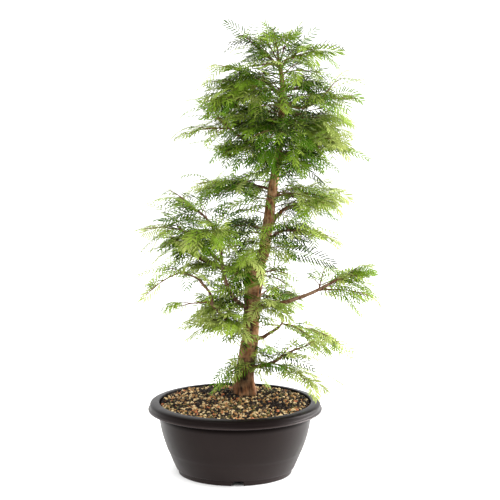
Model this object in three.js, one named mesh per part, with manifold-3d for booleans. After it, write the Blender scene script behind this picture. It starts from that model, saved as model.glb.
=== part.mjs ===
// A dawn redwood bonsai in a round plastic training pot, in millimetres, +Z up.
// The origin is the centre of the pot's underside. +X is the side that the trunk leans to, and -Y is the
// front. The tree is a trunk, its main boughs, and the masses of needles that the boughs carry.
import * as THREE from 'three';
import { mergeVertices } from 'three/addons/utils/BufferGeometryUtils.js';
import Module from 'manifold-3d';

const wasm = await Module();
wasm.setup();

// ---- Driving dimensions ----

const GAP = 0.3; // running gap between pieces that touch

const POT = {
	rimRadius: 129.5,
	height: 107,
	mouthRadius: 112,
	lipHeight: 13,
	beadHeight: 3.5, // the bead round the lip's foot, where the pot is widest
	lipInset: 2.3, // step in from the bead to the lip's upright band
	lipDrop: 5, // fall of the lip's sloping top, from its inner edge to its outer edge
	lipEdge: 2, // flat edge round the mouth
	shoulderRadius: 112,
	footRadius: 84,
	footHeight: 8,
	heelRadius: 88, // foot of the bellied side, just above the foot ring
	wall: 2.6,
	bossRadius: 22,
	floorLift: 4.5, // height of the recessed underside above the foot
	segments: 26,
	notchSegments: 12,
};

const NOTCH = { count: 3, width: 16, height: 8, bearing: 273 }; // half-round drain notches in the foot ring

const SOIL = { edgeHeight: 104.6, crownHeight: 112, plateauRadius: 62, clearance: 0.5 };

// The trunk's sections from the soil to the fork: height, place of the centre, radius.
// The step at 304 to 322 is the healed cut where the old trunk gave way to a new leader.
const TRUNK = [
	{ height: 112.3, x: 14.5, y: 30, radius: 16.0 },
	{ height: 122, x: 14.2, y: 30, radius: 15.4 },
	{ height: 141, x: 14, y: 29, radius: 14.2 },
	{ height: 165, x: 17.4, y: 28, radius: 13.2 },
	{ height: 195, x: 22.2, y: 26, radius: 12.8 },
	{ height: 220, x: 23.2, y: 25, radius: 11.9 },
	{ height: 256, x: 26, y: 25, radius: 12.4 },
	{ height: 288, x: 28.4, y: 24.5, radius: 14.2 },
	{ height: 304, x: 29.2, y: 24, radius: 15.0 },
	{ height: 313, x: 34, y: 22.5, radius: 12.8 },
	{ height: 322, x: 41.2, y: 21, radius: 9.4 },
	{ height: 338, x: 44.2, y: 20, radius: 8.3 },
	{ height: 375, x: 49.2, y: 20, radius: 7.7 },
	{ height: 426, x: 56.1, y: 19, radius: 7.0 },
	{ height: 456, x: 60.4, y: 17, radius: 5.8 },
	{ height: 478, x: 64, y: 16, radius: 5.2 },
	{ height: 534, x: 68.2, y: 16, radius: 4.4 },
	{ height: 575, x: 68.8, y: 15, radius: 3.6 },
	{ height: 602, x: 64.6, y: 14, radius: 2.9 },
];
const TRUNK_MESH = { sides: 10, steps: 22, spread: 1.15 }; // steps lie closer together towards the foot
const FLARE = { toes: 5, reach: 5.5, height: 26, turn: 35 }; // the root flare's buttress toes

// Each bough leaves the trunk at a height, or its parent bough at a share of its length. It heads out on a
// bearing (degrees from +X towards +Y), by a reach and a rise, bent over a knee given as [out, up] from its
// start.
const BOUGHS = [
	{ name: 'bough_low_right', at: 152, bearing: 332, reach: 64, rise: 26, knee: [42, 1], radii: [3.4, 1.6] },
	{ name: 'bough_low_right_rear', at: 192, bearing: 8, reach: 48, rise: 24,
		knee: [28, 3], radii: [3.5, 1.6] },
	{ name: 'bough_long_right', at: 242, bearing: 350, reach: 128, rise: 47, knee: [64, 6], radii: [3.8, 1.9] },
	{ name: 'bough_low_left', at: 200, bearing: 218, reach: 73, rise: 57, knee: [36, 18], radii: [3.2, 2.0] },
	{ name: 'bough_low_left_outer', from: 'bough_low_left', at: 0.97, bearing: 190, reach: 47, rise: 50,
		knee: [3, 40], radii: [2.0, 1.3] },
	{ name: 'bough_left_stem', at: 240, bearing: 222, reach: 61, rise: 99, knee: [57, 14], radii: [3.6, 2.4] },
	{ name: 'bough_left_stem_top', from: 'bough_left_stem', at: 0.97, bearing: 167, reach: 46, rise: 61,
		knee: [10, 52], radii: [2.3, 1.4] },
	{ name: 'bough_left_stem_side', from: 'bough_left_stem', at: 0.87, bearing: 191, reach: 65, rise: 54,
		knee: [34, 24], radii: [2.2, 1.4] },
	{ name: 'bough_left_pruned', at: 290, bearing: 202, reach: 122, rise: 59,
		knee: [62, 10], radii: [4.8, 2.6] },
	{ name: 'bough_mid_right', at: 351, bearing: 13, reach: 36, rise: 42, knee: [14, 34], radii: [4.2, 2.2] },
	{ name: 'bough_mid_right_lower', at: 341, bearing: 329, reach: 57, rise: 21,
		knee: [26, 26], radii: [2.6, 1.4] },
	{ name: 'bough_upper_left', at: 464, bearing: 188, reach: 88, rise: 62, knee: [44, 22], radii: [2.8, 1.4] },
	{ name: 'bough_upper_right', at: 459, bearing: 337, reach: 64, rise: 22,
		knee: [30, 27], radii: [2.6, 1.4] },
	{ name: 'bough_top_left', at: 554, bearing: 203, reach: 43, rise: 27, knee: [20, 25], radii: [2.6, 1.5] },
	{ name: 'bough_top_right', at: 545, bearing: 340, reach: 68, rise: 19, knee: [42, -14], radii: [2.4, 1.3] },
	{ name: 'leader_left', at: 598, bearing: 175, reach: 42, rise: 36, knee: [20, 18], radii: [2.0, 1.2] },
	{ name: 'leader_right', at: 596, bearing: 12, reach: 37, rise: 28, knee: [14, 19], radii: [1.9, 1.2] },
];
const BOUGH_MESH = { sides: 5, steps: 4 };

// Each mass of needles starts on its bough at a share of the bough's length, or on the trunk at a height. It
// runs out on a bearing and droops below level by some degrees, over its size: length, width, thickness.
const MASSES = [
	{ name: 'mass_low_right_tip', on: 'bough_low_right', at: 0.58, bearing: 340, droop: 14,
		size: [128, 36, 16] },
	{ name: 'mass_low_right_inner', on: 'bough_low_right', at: 0.92, bearing: 350, droop: -21,
		size: [78, 40, 18] },
	{ name: 'mass_low_right_rear', on: 'bough_low_right_rear', at: 1, bearing: 8, droop: 21,
		size: [108, 60, 28] },
	{ name: 'mass_long_right_tip', on: 'bough_long_right', at: 0.84, bearing: 356, droop: -22,
		size: [70, 52, 32] },
	{ name: 'mass_long_right_lower', on: 'bough_long_right', at: 0.74, bearing: 345, droop: 8,
		size: [106, 51, 28] },
	{ name: 'mass_long_right_upper', on: 'bough_long_right', at: 0.78, bearing: 64, droop: -40,
		size: [54, 50, 18] },
	{ name: 'mass_front_right_shoot', at: 242, bearing: 322, droop: -12, size: [66, 46, 34] },
	{ name: 'mass_low_left', on: 'bough_low_left', at: 0.2, bearing: 208, droop: -34, size: [84, 78, 70] },
	{ name: 'mass_low_left_tip', on: 'bough_low_left_outer', at: 0.97, bearing: 194, droop: 26,
		size: [86, 30, 14] },
	{ name: 'mass_low_left_inner', on: 'bough_low_left_outer', at: 0.05, bearing: 194, droop: 2,
		size: [76, 32, 16] },
	{ name: 'mass_front_low', at: 206, bearing: 240, droop: 4, size: [66, 38, 26] },
	{ name: 'mass_front_lowest', at: 174, bearing: 224, droop: 24, size: [82, 40, 20] },
	{ name: 'mass_left_stem_tip', on: 'bough_left_stem_top', at: 0.85, bearing: 174, droop: -33,
		size: [60, 44, 26] },
	{ name: 'mass_left_stem_inner', on: 'bough_left_stem_top', at: 0.3, bearing: 258, droop: 0,
		size: [72, 76, 48] },
	{ name: 'mass_left_side_tip', on: 'bough_left_stem_side', at: 0.9, bearing: 188, droop: 2,
		size: [64, 40, 22] },
	{ name: 'mass_left_side_rear', on: 'bough_left_stem_side', at: 0.4, bearing: 160, droop: -8,
		size: [66, 52, 30] },
	{ name: 'mass_left_pruned', on: 'bough_left_pruned', at: 0.5, bearing: 208, droop: 1, size: [60, 42, 22] },
	{ name: 'mass_mid_left_rear', at: 419, bearing: 166, droop: -2, size: [134, 64, 40] },
	{ name: 'mass_mid_left_front', at: 332, bearing: 236, droop: 8, size: [76, 66, 54] },
	{ name: 'mass_back_low', at: 246, bearing: 62, droop: -4, size: [104, 84, 36] },
	{ name: 'mass_back_mid', at: 352, bearing: 128, droop: 4, size: [112, 84, 42] },
	{ name: 'mass_mid_right', on: 'bough_mid_right', at: 0.86, bearing: 3, droop: -13, size: [78, 38, 17] },
	{ name: 'mass_mid_right_lower', on: 'bough_mid_right_lower', at: 0.5, bearing: 338, droop: 4,
		size: [96, 42, 19] },
	{ name: 'mass_mid_right_rear', at: 288, bearing: 22, droop: 2, size: [70, 56, 30] },
	{ name: 'mass_mid_right_high', at: 408, bearing: 30, droop: 2, size: [124, 64, 42] },
	{ name: 'mass_upper_left_tip', on: 'bough_upper_left', at: 0.78, bearing: 186, droop: 4,
		size: [82, 42, 22] },
	{ name: 'mass_upper_left_front', on: 'bough_upper_left', at: 0.3, bearing: 218, droop: -3,
		size: [74, 58, 36] },
	{ name: 'mass_upper_left_rear', at: 506, bearing: 170, droop: -17, size: [130, 68, 50] },
	{ name: 'mass_upper_right_tip', on: 'bough_upper_right', at: 0.52, bearing: 348, droop: -12,
		size: [76, 54, 34] },
	{ name: 'mass_upper_right_high', at: 512, bearing: 18, droop: 0, size: [98, 70, 48] },
	{ name: 'mass_back_high', at: 520, bearing: 100, droop: -6, size: [118, 96, 52] },
	{ name: 'mass_front_high', at: 512, bearing: 262, droop: 4, size: [96, 88, 50] },
	{ name: 'mass_front_upper', at: 470, bearing: 280, droop: 0, size: [88, 78, 50] },
	{ name: 'mass_top_right_rear', at: 562, bearing: 14, droop: -12, size: [58, 74, 54] },
	{ name: 'mass_top_left_tip', on: 'bough_top_left', at: 0.75, bearing: 188, droop: -17, size: [86, 46, 24] },
	{ name: 'mass_top_left_lower', on: 'bough_top_left', at: 0.25, bearing: 182, droop: 3,
		size: [116, 66, 50] },
	{ name: 'mass_top_right_tip', on: 'bough_top_right', at: 0.2, bearing: 352, droop: -10,
		size: [106, 48, 26] },
	{ name: 'mass_leader_left', on: 'leader_left', at: 0.2, bearing: 184, droop: -38, size: [48, 42, 36] },
	{ name: 'mass_leader_middle', at: 602, bearing: 215, droop: -80, size: [60, 74, 60] },
	{ name: 'mass_leader_right', on: 'leader_right', at: 0.4, bearing: 352, droop: -8, size: [70, 38, 24] },
];
const MASS_MESH = { around: 7, along: 5 };
const MASS_SEAT = 5; // how far a mass starts behind its anchor, so that it meets its bough
const ENDS_BOUGH = 0.5; // a mass that starts beyond this share of its bough ends the bough
const TAPER = { slope: 0.28, curve: 0.1 }; // how a mass narrows from its root to its tip

// A mass's lumps: their height as a share of its size, and the waves along, across and through it.
const LUMPS = {
	height: 0.13,
	along: 3.1,
	across: 4.3,
	through: 5.3,
	slant: 2.9,
	fine: 0.6,
	turn: [ 1.7, 0.9 ],
};

const FINISH = {
	pot: { color: 0x3a3330, roughness: 0.5, metalness: 0 },
	soil: { color: 0x9a8266, roughness: 0.95, metalness: 0 },
	bark: { color: 0x7a5540, roughness: 0.9, metalness: 0 },
	needles: { color: 0x6f9a35, roughness: 0.6, metalness: 0 },
};

// ---- Solids and meshes ----

const radians = THREE.MathUtils.degToRad;

// A closed geometry as a solid. Corners at one place are merged first, by position alone.
function solidOf( geometry ) {

	const bare = geometry.clone();
	bare.deleteAttribute( 'normal' );
	bare.deleteAttribute( 'uv' );
	const merged = mergeVertices( bare, 1e-4 );
	return new wasm.Manifold( new wasm.Mesh( {
		numProp: 3,
		vertProperties: merged.attributes.position.array,
		triVerts: new Uint32Array( merged.index.array ),
	} ) );

}

function meshOf( name, solid, finish ) {

	const { vertProperties, triVerts } = solid.getMesh();
	const geometry = new THREE.BufferGeometry();
	geometry.setAttribute( 'position', new THREE.BufferAttribute( vertProperties, 3 ) );
	geometry.setIndex( new THREE.BufferAttribute( triVerts, 1 ) );
	geometry.computeVertexNormals();
	const mesh = new THREE.Mesh( geometry, new THREE.MeshStandardMaterial( finish ) );
	mesh.name = name;
	return mesh;

}

// A lathe about the vertical axis from a profile of [radius, height] points, outermost faces outwards.
function turned( profile, segments ) {

	const points = profile.map( ( [ radius, height ] ) => new THREE.Vector2( radius, height ) );
	return new THREE.LatheGeometry( points, segments ).rotateX( Math.PI / 2 );

}

const largest = ( bodies ) => bodies.reduce( ( best, body ) => body.volume() > best.volume() ? body : best );

// The body of a cut limb that still starts at the limb's root.
function rooted( bodies, root ) {

	const distance = ( body ) => {

		const { min, max } = body.boundingBox();
		const box = new THREE.Box3( new THREE.Vector3( ...min ), new THREE.Vector3( ...max ) );
		return box.distanceToPoint( root );

	};

	return bodies.reduce( ( best, body ) => distance( body ) < distance( best ) ? body : best );

}

// ---- Pot and soil ----

// A point of the pot's bellied side, inset from its outer face, at a share of the way up from foot ring to lip.
function potSide( share, inset ) {

	const { heelRadius, shoulderRadius, height, lipHeight, footHeight } = POT;
	const radius = heelRadius + ( shoulderRadius - heelRadius ) * Math.sin( share * Math.PI / 2 );
	const foot = footHeight + 1;
	return [ radius - inset, foot + ( height - lipHeight - foot ) * share ];

}

const OUTER_SHARES = [ 0, 0.25, 0.6, 1 ];
const INNER_SHARES = [ 0.16, 0.5, 1 ];

// The wall runs from the underside's boss out to the foot, up the bellied side, over the two-step lip and in.
function potSolid() {

	const { rimRadius, height, mouthRadius, lipHeight, beadHeight, lipInset, lipDrop, lipEdge } = POT;
	const { footRadius, footHeight, wall, bossRadius, floorLift } = POT;
	const ringRadius = footRadius - 2 * wall;
	const floor = floorLift + wall;
	const profile = [
		[ 0, 0 ],
		[ bossRadius, 0 ],
		[ bossRadius, floorLift ],
		[ ringRadius, floorLift ],
		[ ringRadius, 0 ],
		[ footRadius, 0 ],
		[ footRadius, footHeight ],
		...OUTER_SHARES.map( ( share ) => potSide( share, 0 ) ),
		[ rimRadius, height - lipHeight ],
		[ rimRadius, height - lipHeight + beadHeight ],
		[ rimRadius - lipInset, height - lipHeight + beadHeight ],
		[ rimRadius - lipInset, height - lipDrop ],
		[ mouthRadius + lipEdge, height ],
		[ mouthRadius, height ],
		...INNER_SHARES.toReversed().map( ( share ) => potSide( share, wall ) ),
		[ ringRadius, floor ],
		[ 0, floor ],
	];
	let pot = solidOf( turned( profile, POT.segments ) );
	for ( let i = 0; i < NOTCH.count; i ++ ) {

		const half = NOTCH.width / 2;
		const notch = new THREE.CylinderGeometry( half, half, 4 * wall, POT.notchSegments );
		notch.scale( 1, 1, NOTCH.height / half );
		notch.rotateZ( Math.PI / 2 );
		notch.translate( footRadius - wall, 0, 0 );
		notch.rotateZ( radians( NOTCH.bearing + i * 360 / NOTCH.count ) );
		pot = pot.subtract( solidOf( notch ) );

	}

	return pot;

}

// Potting mix that fills the pot up to a low mound with a level top.
function soilSolid() {

	const { edgeHeight, crownHeight, plateauRadius, clearance } = SOIL;
	const inset = POT.wall + clearance;
	const edgeRadius = POT.mouthRadius - inset;
	const bed = INNER_SHARES.map( ( share ) => potSide( share, inset ) );
	const profile = [
		[ 0, bed[ 0 ][ 1 ] ],
		...bed,
		[ edgeRadius, edgeHeight ],
		[ ( edgeRadius + plateauRadius ) / 2, ( edgeHeight + 2 * crownHeight ) / 3 ],
		[ plateauRadius, crownHeight ],
		[ 0, crownHeight ],
	];
	return solidOf( turned( profile, POT.segments ) );

}

// ---- Trunk, boughs and masses ----

// The trunk's section at a height, from smooth (Hermite) curves through the named sections.
function trunkAt( height ) {

	const above = TRUNK.findIndex( ( section ) => section.height > height );
	const i = above < 0 ? TRUNK.length - 2 : Math.max( above - 1, 0 );
	const section = ( index ) => TRUNK[ THREE.MathUtils.clamp( index, 0, TRUNK.length - 1 ) ];
	const [ before, a, b, after ] = [ i - 1, i, i + 1, i + 2 ].map( section );
	const span = b.height - a.height;
	const t = THREE.MathUtils.clamp( ( height - a.height ) / span, 0, 1 );
	const value = ( key ) => {

		const slopeA = ( b[ key ] - before[ key ] ) / ( b.height - before.height ) * span;
		const slopeB = ( after[ key ] - a[ key ] ) / ( after.height - a.height ) * span;
		return a[ key ] * ( 2 * t ** 3 - 3 * t ** 2 + 1 ) + b[ key ] * ( 3 * t ** 2 - 2 * t ** 3 )
			+ slopeA * ( t ** 3 - 2 * t ** 2 + t ) + slopeB * ( t ** 3 - t ** 2 );

	};

	return { centre: new THREE.Vector3( value( 'x' ), value( 'y' ), height ), radius: value( 'radius' ) };

}

// Level sections from the flat cut at the soil to the fork, with the toes of the root flare at the foot.
function trunkSolid( gap ) {

	const { sides, steps, spread } = TRUNK_MESH;
	const foot = TRUNK[ 0 ].height;
	const tall = TRUNK[ TRUNK.length - 1 ].height - foot;
	const geometry = new THREE.CylinderGeometry( 1, 1, 1, sides, steps ).rotateX( Math.PI / 2 );
	const position = geometry.attributes.position;
	const corner = new THREE.Vector3();
	for ( let i = 0; i < position.count; i ++ ) {

		corner.fromBufferAttribute( position, i );
		const share = corner.z + 0.5;
		const height = foot + tall * share ** spread;
		const { centre, radius } = trunkAt( height );
		const around = Math.atan2( corner.y, corner.x );
		const low = Math.max( 0, 1 - ( height - foot ) / FLARE.height ) ** 2;
		const toe = Math.max( 0, Math.cos( FLARE.toes * ( around - radians( FLARE.turn ) ) ) );
		const reach = Math.hypot( corner.x, corner.y ) * ( radius + gap + low * FLARE.reach * toe );
		const [ out, back ] = [ Math.cos( around ) * reach, Math.sin( around ) * reach ];
		position.setXYZ( i, centre.x + out, centre.y + back, height );

	}

	return solidOf( geometry );

}

const headed = ( bearing, out, up ) => new THREE.Vector3(
	Math.cos( radians( bearing ) ) * out, Math.sin( radians( bearing ) ) * out, up );

// A limb's line: out over its knee to its end.
function boughLine( bough, lines ) {

	const start = bough.from ? lines.get( bough.from ).getPoint( bough.at ) : trunkAt( bough.at ).centre;
	const knee = start.clone().add( headed( bough.bearing, ...bough.knee ) );
	const end = start.clone().add( headed( bough.bearing, bough.reach, bough.rise ) );
	return new THREE.QuadraticBezierCurve3( start, knee, end );

}

// A tapering limb: a cylinder whose rings are set square to the line.
function limbSolid( line, [ rootRadius, endRadius ], gap ) {

	const { sides, steps } = BOUGH_MESH;
	const frames = line.computeFrenetFrames( steps );
	const geometry = new THREE.CylinderGeometry( 1, 1, 1, sides, steps );
	const position = geometry.attributes.position;
	const corner = new THREE.Vector3();
	for ( let i = 0; i < position.count; i ++ ) {

		corner.fromBufferAttribute( position, i );
		const share = corner.y + 0.5;
		const step = Math.round( share * steps );
		const radius = THREE.MathUtils.lerp( rootRadius, endRadius, share ) + gap;
		const place = line.getPointAt( share )
			.addScaledVector( frames.normals[ step ], - corner.x * radius )
			.addScaledVector( frames.binormals[ step ], corner.z * radius );
		position.setXYZ( i, place.x, place.y, place.z );

	}

	return solidOf( geometry );

}

// A mass of needles: a flattened, lumpy body, blunt at its root and narrowing to its tip.
function massSolid( mass, index, lines, gap ) {

	const half = mass.size.map( ( side ) => side / 2 + gap );
	const [ turnAlong, turnAcross ] = LUMPS.turn.map( ( turn ) => turn * index );
	const anchor = mass.on ? lines.get( mass.on ).getPoint( mass.at ) : trunkAt( mass.at ).centre;
	const geometry = new THREE.SphereGeometry( 1, MASS_MESH.around, MASS_MESH.along ).rotateZ( - Math.PI / 2 );
	const position = geometry.attributes.position;
	const corner = new THREE.Vector3();
	for ( let i = 0; i < position.count; i ++ ) {

		corner.fromBufferAttribute( position, i );
		const lengthwise = Math.sin( LUMPS.along * corner.x + turnAlong );
		const sideways = Math.cos( LUMPS.across * corner.y - turnAcross );
		const fine = Math.sin( LUMPS.through * corner.z + LUMPS.slant * corner.x + index );
		const lump = 1 + LUMPS.height * ( lengthwise * sideways + LUMPS.fine * fine );
		const girth = lump * ( 1 - TAPER.slope * corner.x - TAPER.curve * corner.x ** 2 );
		const x = corner.x * half[ 0 ] * Math.min( 1, ( 1 + lump ) / 2 ); // never past the mass's own length
		position.setXYZ( i, x, corner.y * half[ 1 ] * girth, corner.z * half[ 2 ] * girth );

	}

	geometry.translate( mass.size[ 0 ] / 2 - MASS_SEAT, 0, 0 );
	geometry.rotateY( radians( mass.droop ) );
	geometry.rotateZ( radians( mass.bearing ) );
	geometry.translate( anchor.x, anchor.y, anchor.z );
	return solidOf( geometry );

}

// ---- Assembly ----

const group = new THREE.Group();
const place = ( name, solid, finish ) => group.add( meshOf( name, solid, finish ) );

place( 'pot', potSolid(), FINISH.pot );
place( 'soil', soilSolid(), FINISH.soil );
place( 'trunk', trunkSolid( 0 ), FINISH.bark );

const lines = new Map();
for ( const bough of BOUGHS ) lines.set( bough.name, boughLine( bough, lines ) );

// What later pieces are cut back from: everything placed so far, a gap larger.
let taken = trunkSolid( GAP );

for ( const bough of BOUGHS ) {

	// A bough stops short of the mass that grows on at its end.
	const line = lines.get( bough.name );
	const outermost = MASSES.filter( ( mass ) => mass.on === bough.name && mass.at >= ENDS_BOUGH )
		.reduce( ( best, mass ) => mass.at > ( best?.at ?? 0 ) ? mass : best, null );
	const end = outermost && massSolid( outermost, MASSES.indexOf( outermost ), lines, GAP );
	const stopped = ( limb ) => end ? limb.subtract( end ) : limb;
	const solid = stopped( limbSolid( line, bough.radii, 0 ).subtract( taken ) );
	place( bough.name, rooted( solid.decompose(), line.getPoint( 0 ) ), FINISH.bark );
	taken = taken.add( stopped( limbSolid( line, bough.radii, GAP ) ) );

}

MASSES.forEach( ( mass, index ) => {

	const solid = massSolid( mass, index, lines, 0 ).subtract( taken );
	place( mass.name, largest( solid.decompose() ), FINISH.needles );
	taken = taken.add( massSolid( mass, index, lines, GAP ) );

} );

export default group;
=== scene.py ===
"""A dawn redwood bonsai in a round training pot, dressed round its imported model."""

import math

import bpy
import numpy as np
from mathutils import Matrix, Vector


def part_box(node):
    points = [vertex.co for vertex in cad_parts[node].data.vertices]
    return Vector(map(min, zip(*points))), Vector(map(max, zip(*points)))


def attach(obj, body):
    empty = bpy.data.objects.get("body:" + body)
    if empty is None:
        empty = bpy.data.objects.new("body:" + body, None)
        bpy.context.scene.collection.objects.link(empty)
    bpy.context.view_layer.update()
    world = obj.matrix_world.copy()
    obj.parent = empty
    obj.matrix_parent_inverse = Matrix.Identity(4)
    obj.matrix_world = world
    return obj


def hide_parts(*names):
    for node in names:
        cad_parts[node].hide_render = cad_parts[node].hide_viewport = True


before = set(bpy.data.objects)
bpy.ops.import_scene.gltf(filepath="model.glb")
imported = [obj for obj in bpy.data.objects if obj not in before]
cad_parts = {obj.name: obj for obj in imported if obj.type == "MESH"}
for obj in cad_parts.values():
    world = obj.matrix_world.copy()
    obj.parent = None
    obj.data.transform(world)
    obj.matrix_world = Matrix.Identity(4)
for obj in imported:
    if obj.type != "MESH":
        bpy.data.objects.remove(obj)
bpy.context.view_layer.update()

MM = 0.001  # sizes below are in millimetres, and Blender's are in metres


# ---- Camera ----
# It stands 3 m in front of the pot, a little to its right and above the tree, and looks down by 9.4 degrees
# through a long lens.

CAMERA_PLACE = (22, -3000, 830)
CAMERA_PITCH = 9.417
SENSOR = 36
PICTURE_PIXELS = 500
FOCAL_PIXELS = 2083

scene = bpy.context.scene
camera_data = bpy.data.cameras.new("camera")
camera_data.sensor_width = SENSOR
camera_data.lens = SENSOR * FOCAL_PIXELS / PICTURE_PIXELS
camera = bpy.data.objects.new("camera", camera_data)
camera.location = [value * MM for value in CAMERA_PLACE]
camera.rotation_euler = (math.radians(90 - CAMERA_PITCH), 0, 0)
scene.collection.objects.link(camera)
scene.camera = camera


# ---- Studio ----
# White paper for a floor under a white sky that is dimmer on the camera's side, with one wide soft light from
# the upper left and a soft box low on the right. What shines mirrors a sky that is black in front and bright
# behind.

FLOOR_SIDE = 120000
PAINTED_GLOW = 0.16  # painted light: white that the paper glows to the camera alone, which washes out the shadow on it
PAINTED_GLOW_RADII = (82, 98)  # the painted glow is none under the pot, and full from the second distance out
SKY_MEAN = 1.27  # strength of the sky's light, half way from front to back
SKY_LEAN = 0.65  # how much weaker it is in front, and stronger behind
MIRRORED_FRONT = 0.0  # strength of the sky that shiny surfaces mirror, in front and behind
MIRRORED_BACK = 2.6
KEY_STRENGTH = 1.95
KEY_WIDTH = 50  # degrees across, as seen from the tree
KEY_TILT = (34, -22)  # degrees that it is tipped forward and to the left from straight above
SIDE_BOX_PLACE = (1900, 520, 620)
SIDE_BOX_SIZE = (1300, 1500)
SIDE_BOX_WATTS = 125
SIDE_BOX_TILT = 80  # degrees up from facing straight down


def linear(colour):
    """An sRGB hex colour as linear red, green, blue and 1: c / 12.92 in the dark, and above that
    ((c + 0.055) / 1.055) ** 2.4."""
    values = np.array([int(colour[i:i + 2], 16) for i in (1, 3, 5)]) / 255
    values = np.where(values <= 0.04045, values / 12.92, ((values + 0.055) / 1.055) ** 2.4)
    return (*values.tolist(), 1.0)


def add_node(tree, kind, settings=None, values=None, links=None):
    """Adds a node with its settings, constant values for its inputs, and links from other nodes' outputs."""
    node = tree.nodes.new(kind)
    for name, value in (settings or {}).items():
        setattr(node, name, value)
    for name, value in (values or {}).items():
        node.inputs[name].default_value = value
    for name, output in (links or {}).items():
        tree.links.new(output, node.inputs[name])
    return node


def ramp(tree, output, start, end, low=0, high=1):
    """A straight ramp of another node's output: low up to the start and high from the end on."""
    return add_node(tree, "ShaderNodeMapRange", links={"Value": output}, values={
        "From Min": start, "From Max": end, "To Min": low, "To Max": high}).outputs["Result"]


def new_material(name):
    """An empty material, its node tree and its shader."""
    material = bpy.data.materials.new(name)
    material.use_nodes = True
    return material, material.node_tree, material.node_tree.nodes["Principled BSDF"]


def plain_material(name, colour, roughness, shine):
    """A material of one colour, one roughness and one strength of shine."""
    material, _, shader = new_material(name)
    shader.inputs["Base Color"].default_value = linear(colour)
    shader.inputs["Roughness"].default_value = roughness
    shader.inputs["Specular IOR Level"].default_value = shine
    return material


scene.view_settings.view_transform = "Standard"
world = bpy.data.worlds.new("studio_sky")
world.use_nodes = True
tree = world.node_tree
tree.nodes.clear()
way = add_node(tree, "ShaderNodeTexCoord")
depth = add_node(tree, "ShaderNodeSeparateXYZ", links={"Vector": way.outputs["Generated"]}).outputs["Y"]
falloff = ramp(tree, depth, -1, 1, SKY_MEAN - SKY_LEAN, SKY_MEAN + SKY_LEAN)
mirrored = ramp(tree, depth, -1, 1, MIRRORED_FRONT, MIRRORED_BACK)
# Mirrored rays meet the second of these skies and other rays the first, and the camera sees plain white.
path = add_node(tree, "ShaderNodeLightPath")
lighting = add_node(tree, "ShaderNodeMapRange", links={
    "Value": path.outputs["Is Glossy Ray"], "To Min": falloff, "To Max": mirrored})
strength = add_node(tree, "ShaderNodeMapRange", values={"To Max": 1}, links={
    "Value": path.outputs["Is Camera Ray"], "To Min": lighting.outputs["Result"]})
sky = add_node(tree, "ShaderNodeBackground", values={"Color": (1, 1, 1, 1)},
               links={"Strength": strength.outputs["Result"]})
add_node(tree, "ShaderNodeOutputWorld", links={"Surface": sky.outputs["Background"]})
scene.world = world

key = bpy.data.lights.new("soft_key", "SUN")
key.energy = KEY_STRENGTH
key.angle = math.radians(KEY_WIDTH)
key_lamp = bpy.data.objects.new("soft_key", key)
key_lamp.rotation_euler = [math.radians(angle) for angle in (*KEY_TILT, 0)]
scene.collection.objects.link(key_lamp)

side_box = bpy.data.lights.new("side_box", "AREA")
side_box.shape = "RECTANGLE"
side_box.size = SIDE_BOX_SIZE[0] * MM
side_box.size_y = SIDE_BOX_SIZE[1] * MM
side_box.energy = SIDE_BOX_WATTS
side_lamp = bpy.data.objects.new("side_box", side_box)
side_lamp.location = [value * MM for value in SIDE_BOX_PLACE]
side_turn = math.radians(90) + math.atan2(SIDE_BOX_PLACE[1], SIDE_BOX_PLACE[0])
side_lamp.rotation_euler = (math.radians(SIDE_BOX_TILT), 0, side_turn)
side_lamp.visible_camera = False
scene.collection.objects.link(side_lamp)

floor_mesh = bpy.data.meshes.new("floor")
half_floor = FLOOR_SIDE * MM / 2
floor_corners = [(x * half_floor, y * half_floor, 0) for x, y in ((-1, -1), (1, -1), (1, 1), (-1, 1))]
floor_mesh.from_pydata(floor_corners, [], [(0, 1, 2, 3)])
floor = bpy.data.objects.new("floor", floor_mesh)
scene.collection.objects.link(floor)
# Matt paper: it scatters light evenly and hardly shines. A painted glow, seen by the camera only, washes out
# the shadow on it.
paper = plain_material("matt_white_paper", "#f7f7f6", 0.9, 0.1)
tree = paper.node_tree
shader = tree.nodes["Principled BSDF"]
shader.inputs["Emission Color"].default_value = (1, 1, 1, 1)
# Painted light: camera rays see the paper glow over the pot's shadow, from the pot's foot outwards.
place = add_node(tree, "ShaderNodeTexCoord").outputs["Object"]
distance = add_node(tree, "ShaderNodeVectorMath", {"operation": "LENGTH"}, links={"Vector": place})
painted_glow_amount = ramp(tree, distance.outputs["Value"], PAINTED_GLOW_RADII[0] * MM, PAINTED_GLOW_RADII[1] * MM, 0, PAINTED_GLOW)
seen = add_node(tree, "ShaderNodeLightPath")
lift = add_node(tree, "ShaderNodeMapRange", links={"Value": seen.outputs["Is Camera Ray"], "To Max": painted_glow_amount})
tree.links.new(lift.outputs["Result"], shader.inputs["Emission Strength"])
floor_mesh.materials.append(paper)


# ---- Pot ----
# A round training pot, injection moulded in one piece from dark brown polypropylene. It has a bellied side, a
# rolled rim in two steps, a foot ring with three half-round drain notches, and a pad under the middle.

low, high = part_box("pot")
POT_RIM = high.x / MM
POT_HEIGHT = high.z / MM
POT_MOUTH = 112
POT_SHOULDER = 112
POT_HEEL = 88
POT_WALL = 2.6
LIP_HEIGHT = 13
LIP_UNDER = POT_HEIGHT - LIP_HEIGHT
FOOT_RADIUS = 84
FOOT_INNER = FOOT_RADIUS - 2 * POT_WALL
FOOT_HEIGHT = 8
FLOOR_LIFT = 4.5
PAD_RADIUS = 22
NOTCH_BEARINGS = (273, 33, 153)
NOTCH_RADIUS = 9
MOULDING_SHARE = 0.29  # how far up the side the shallow moulding ring lies
MOULDING_STEP = 0.45
MOULDING_SHARPNESS = 160
POT_SIDES = 512
PAINTED_TONE_GAIN = 4
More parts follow.
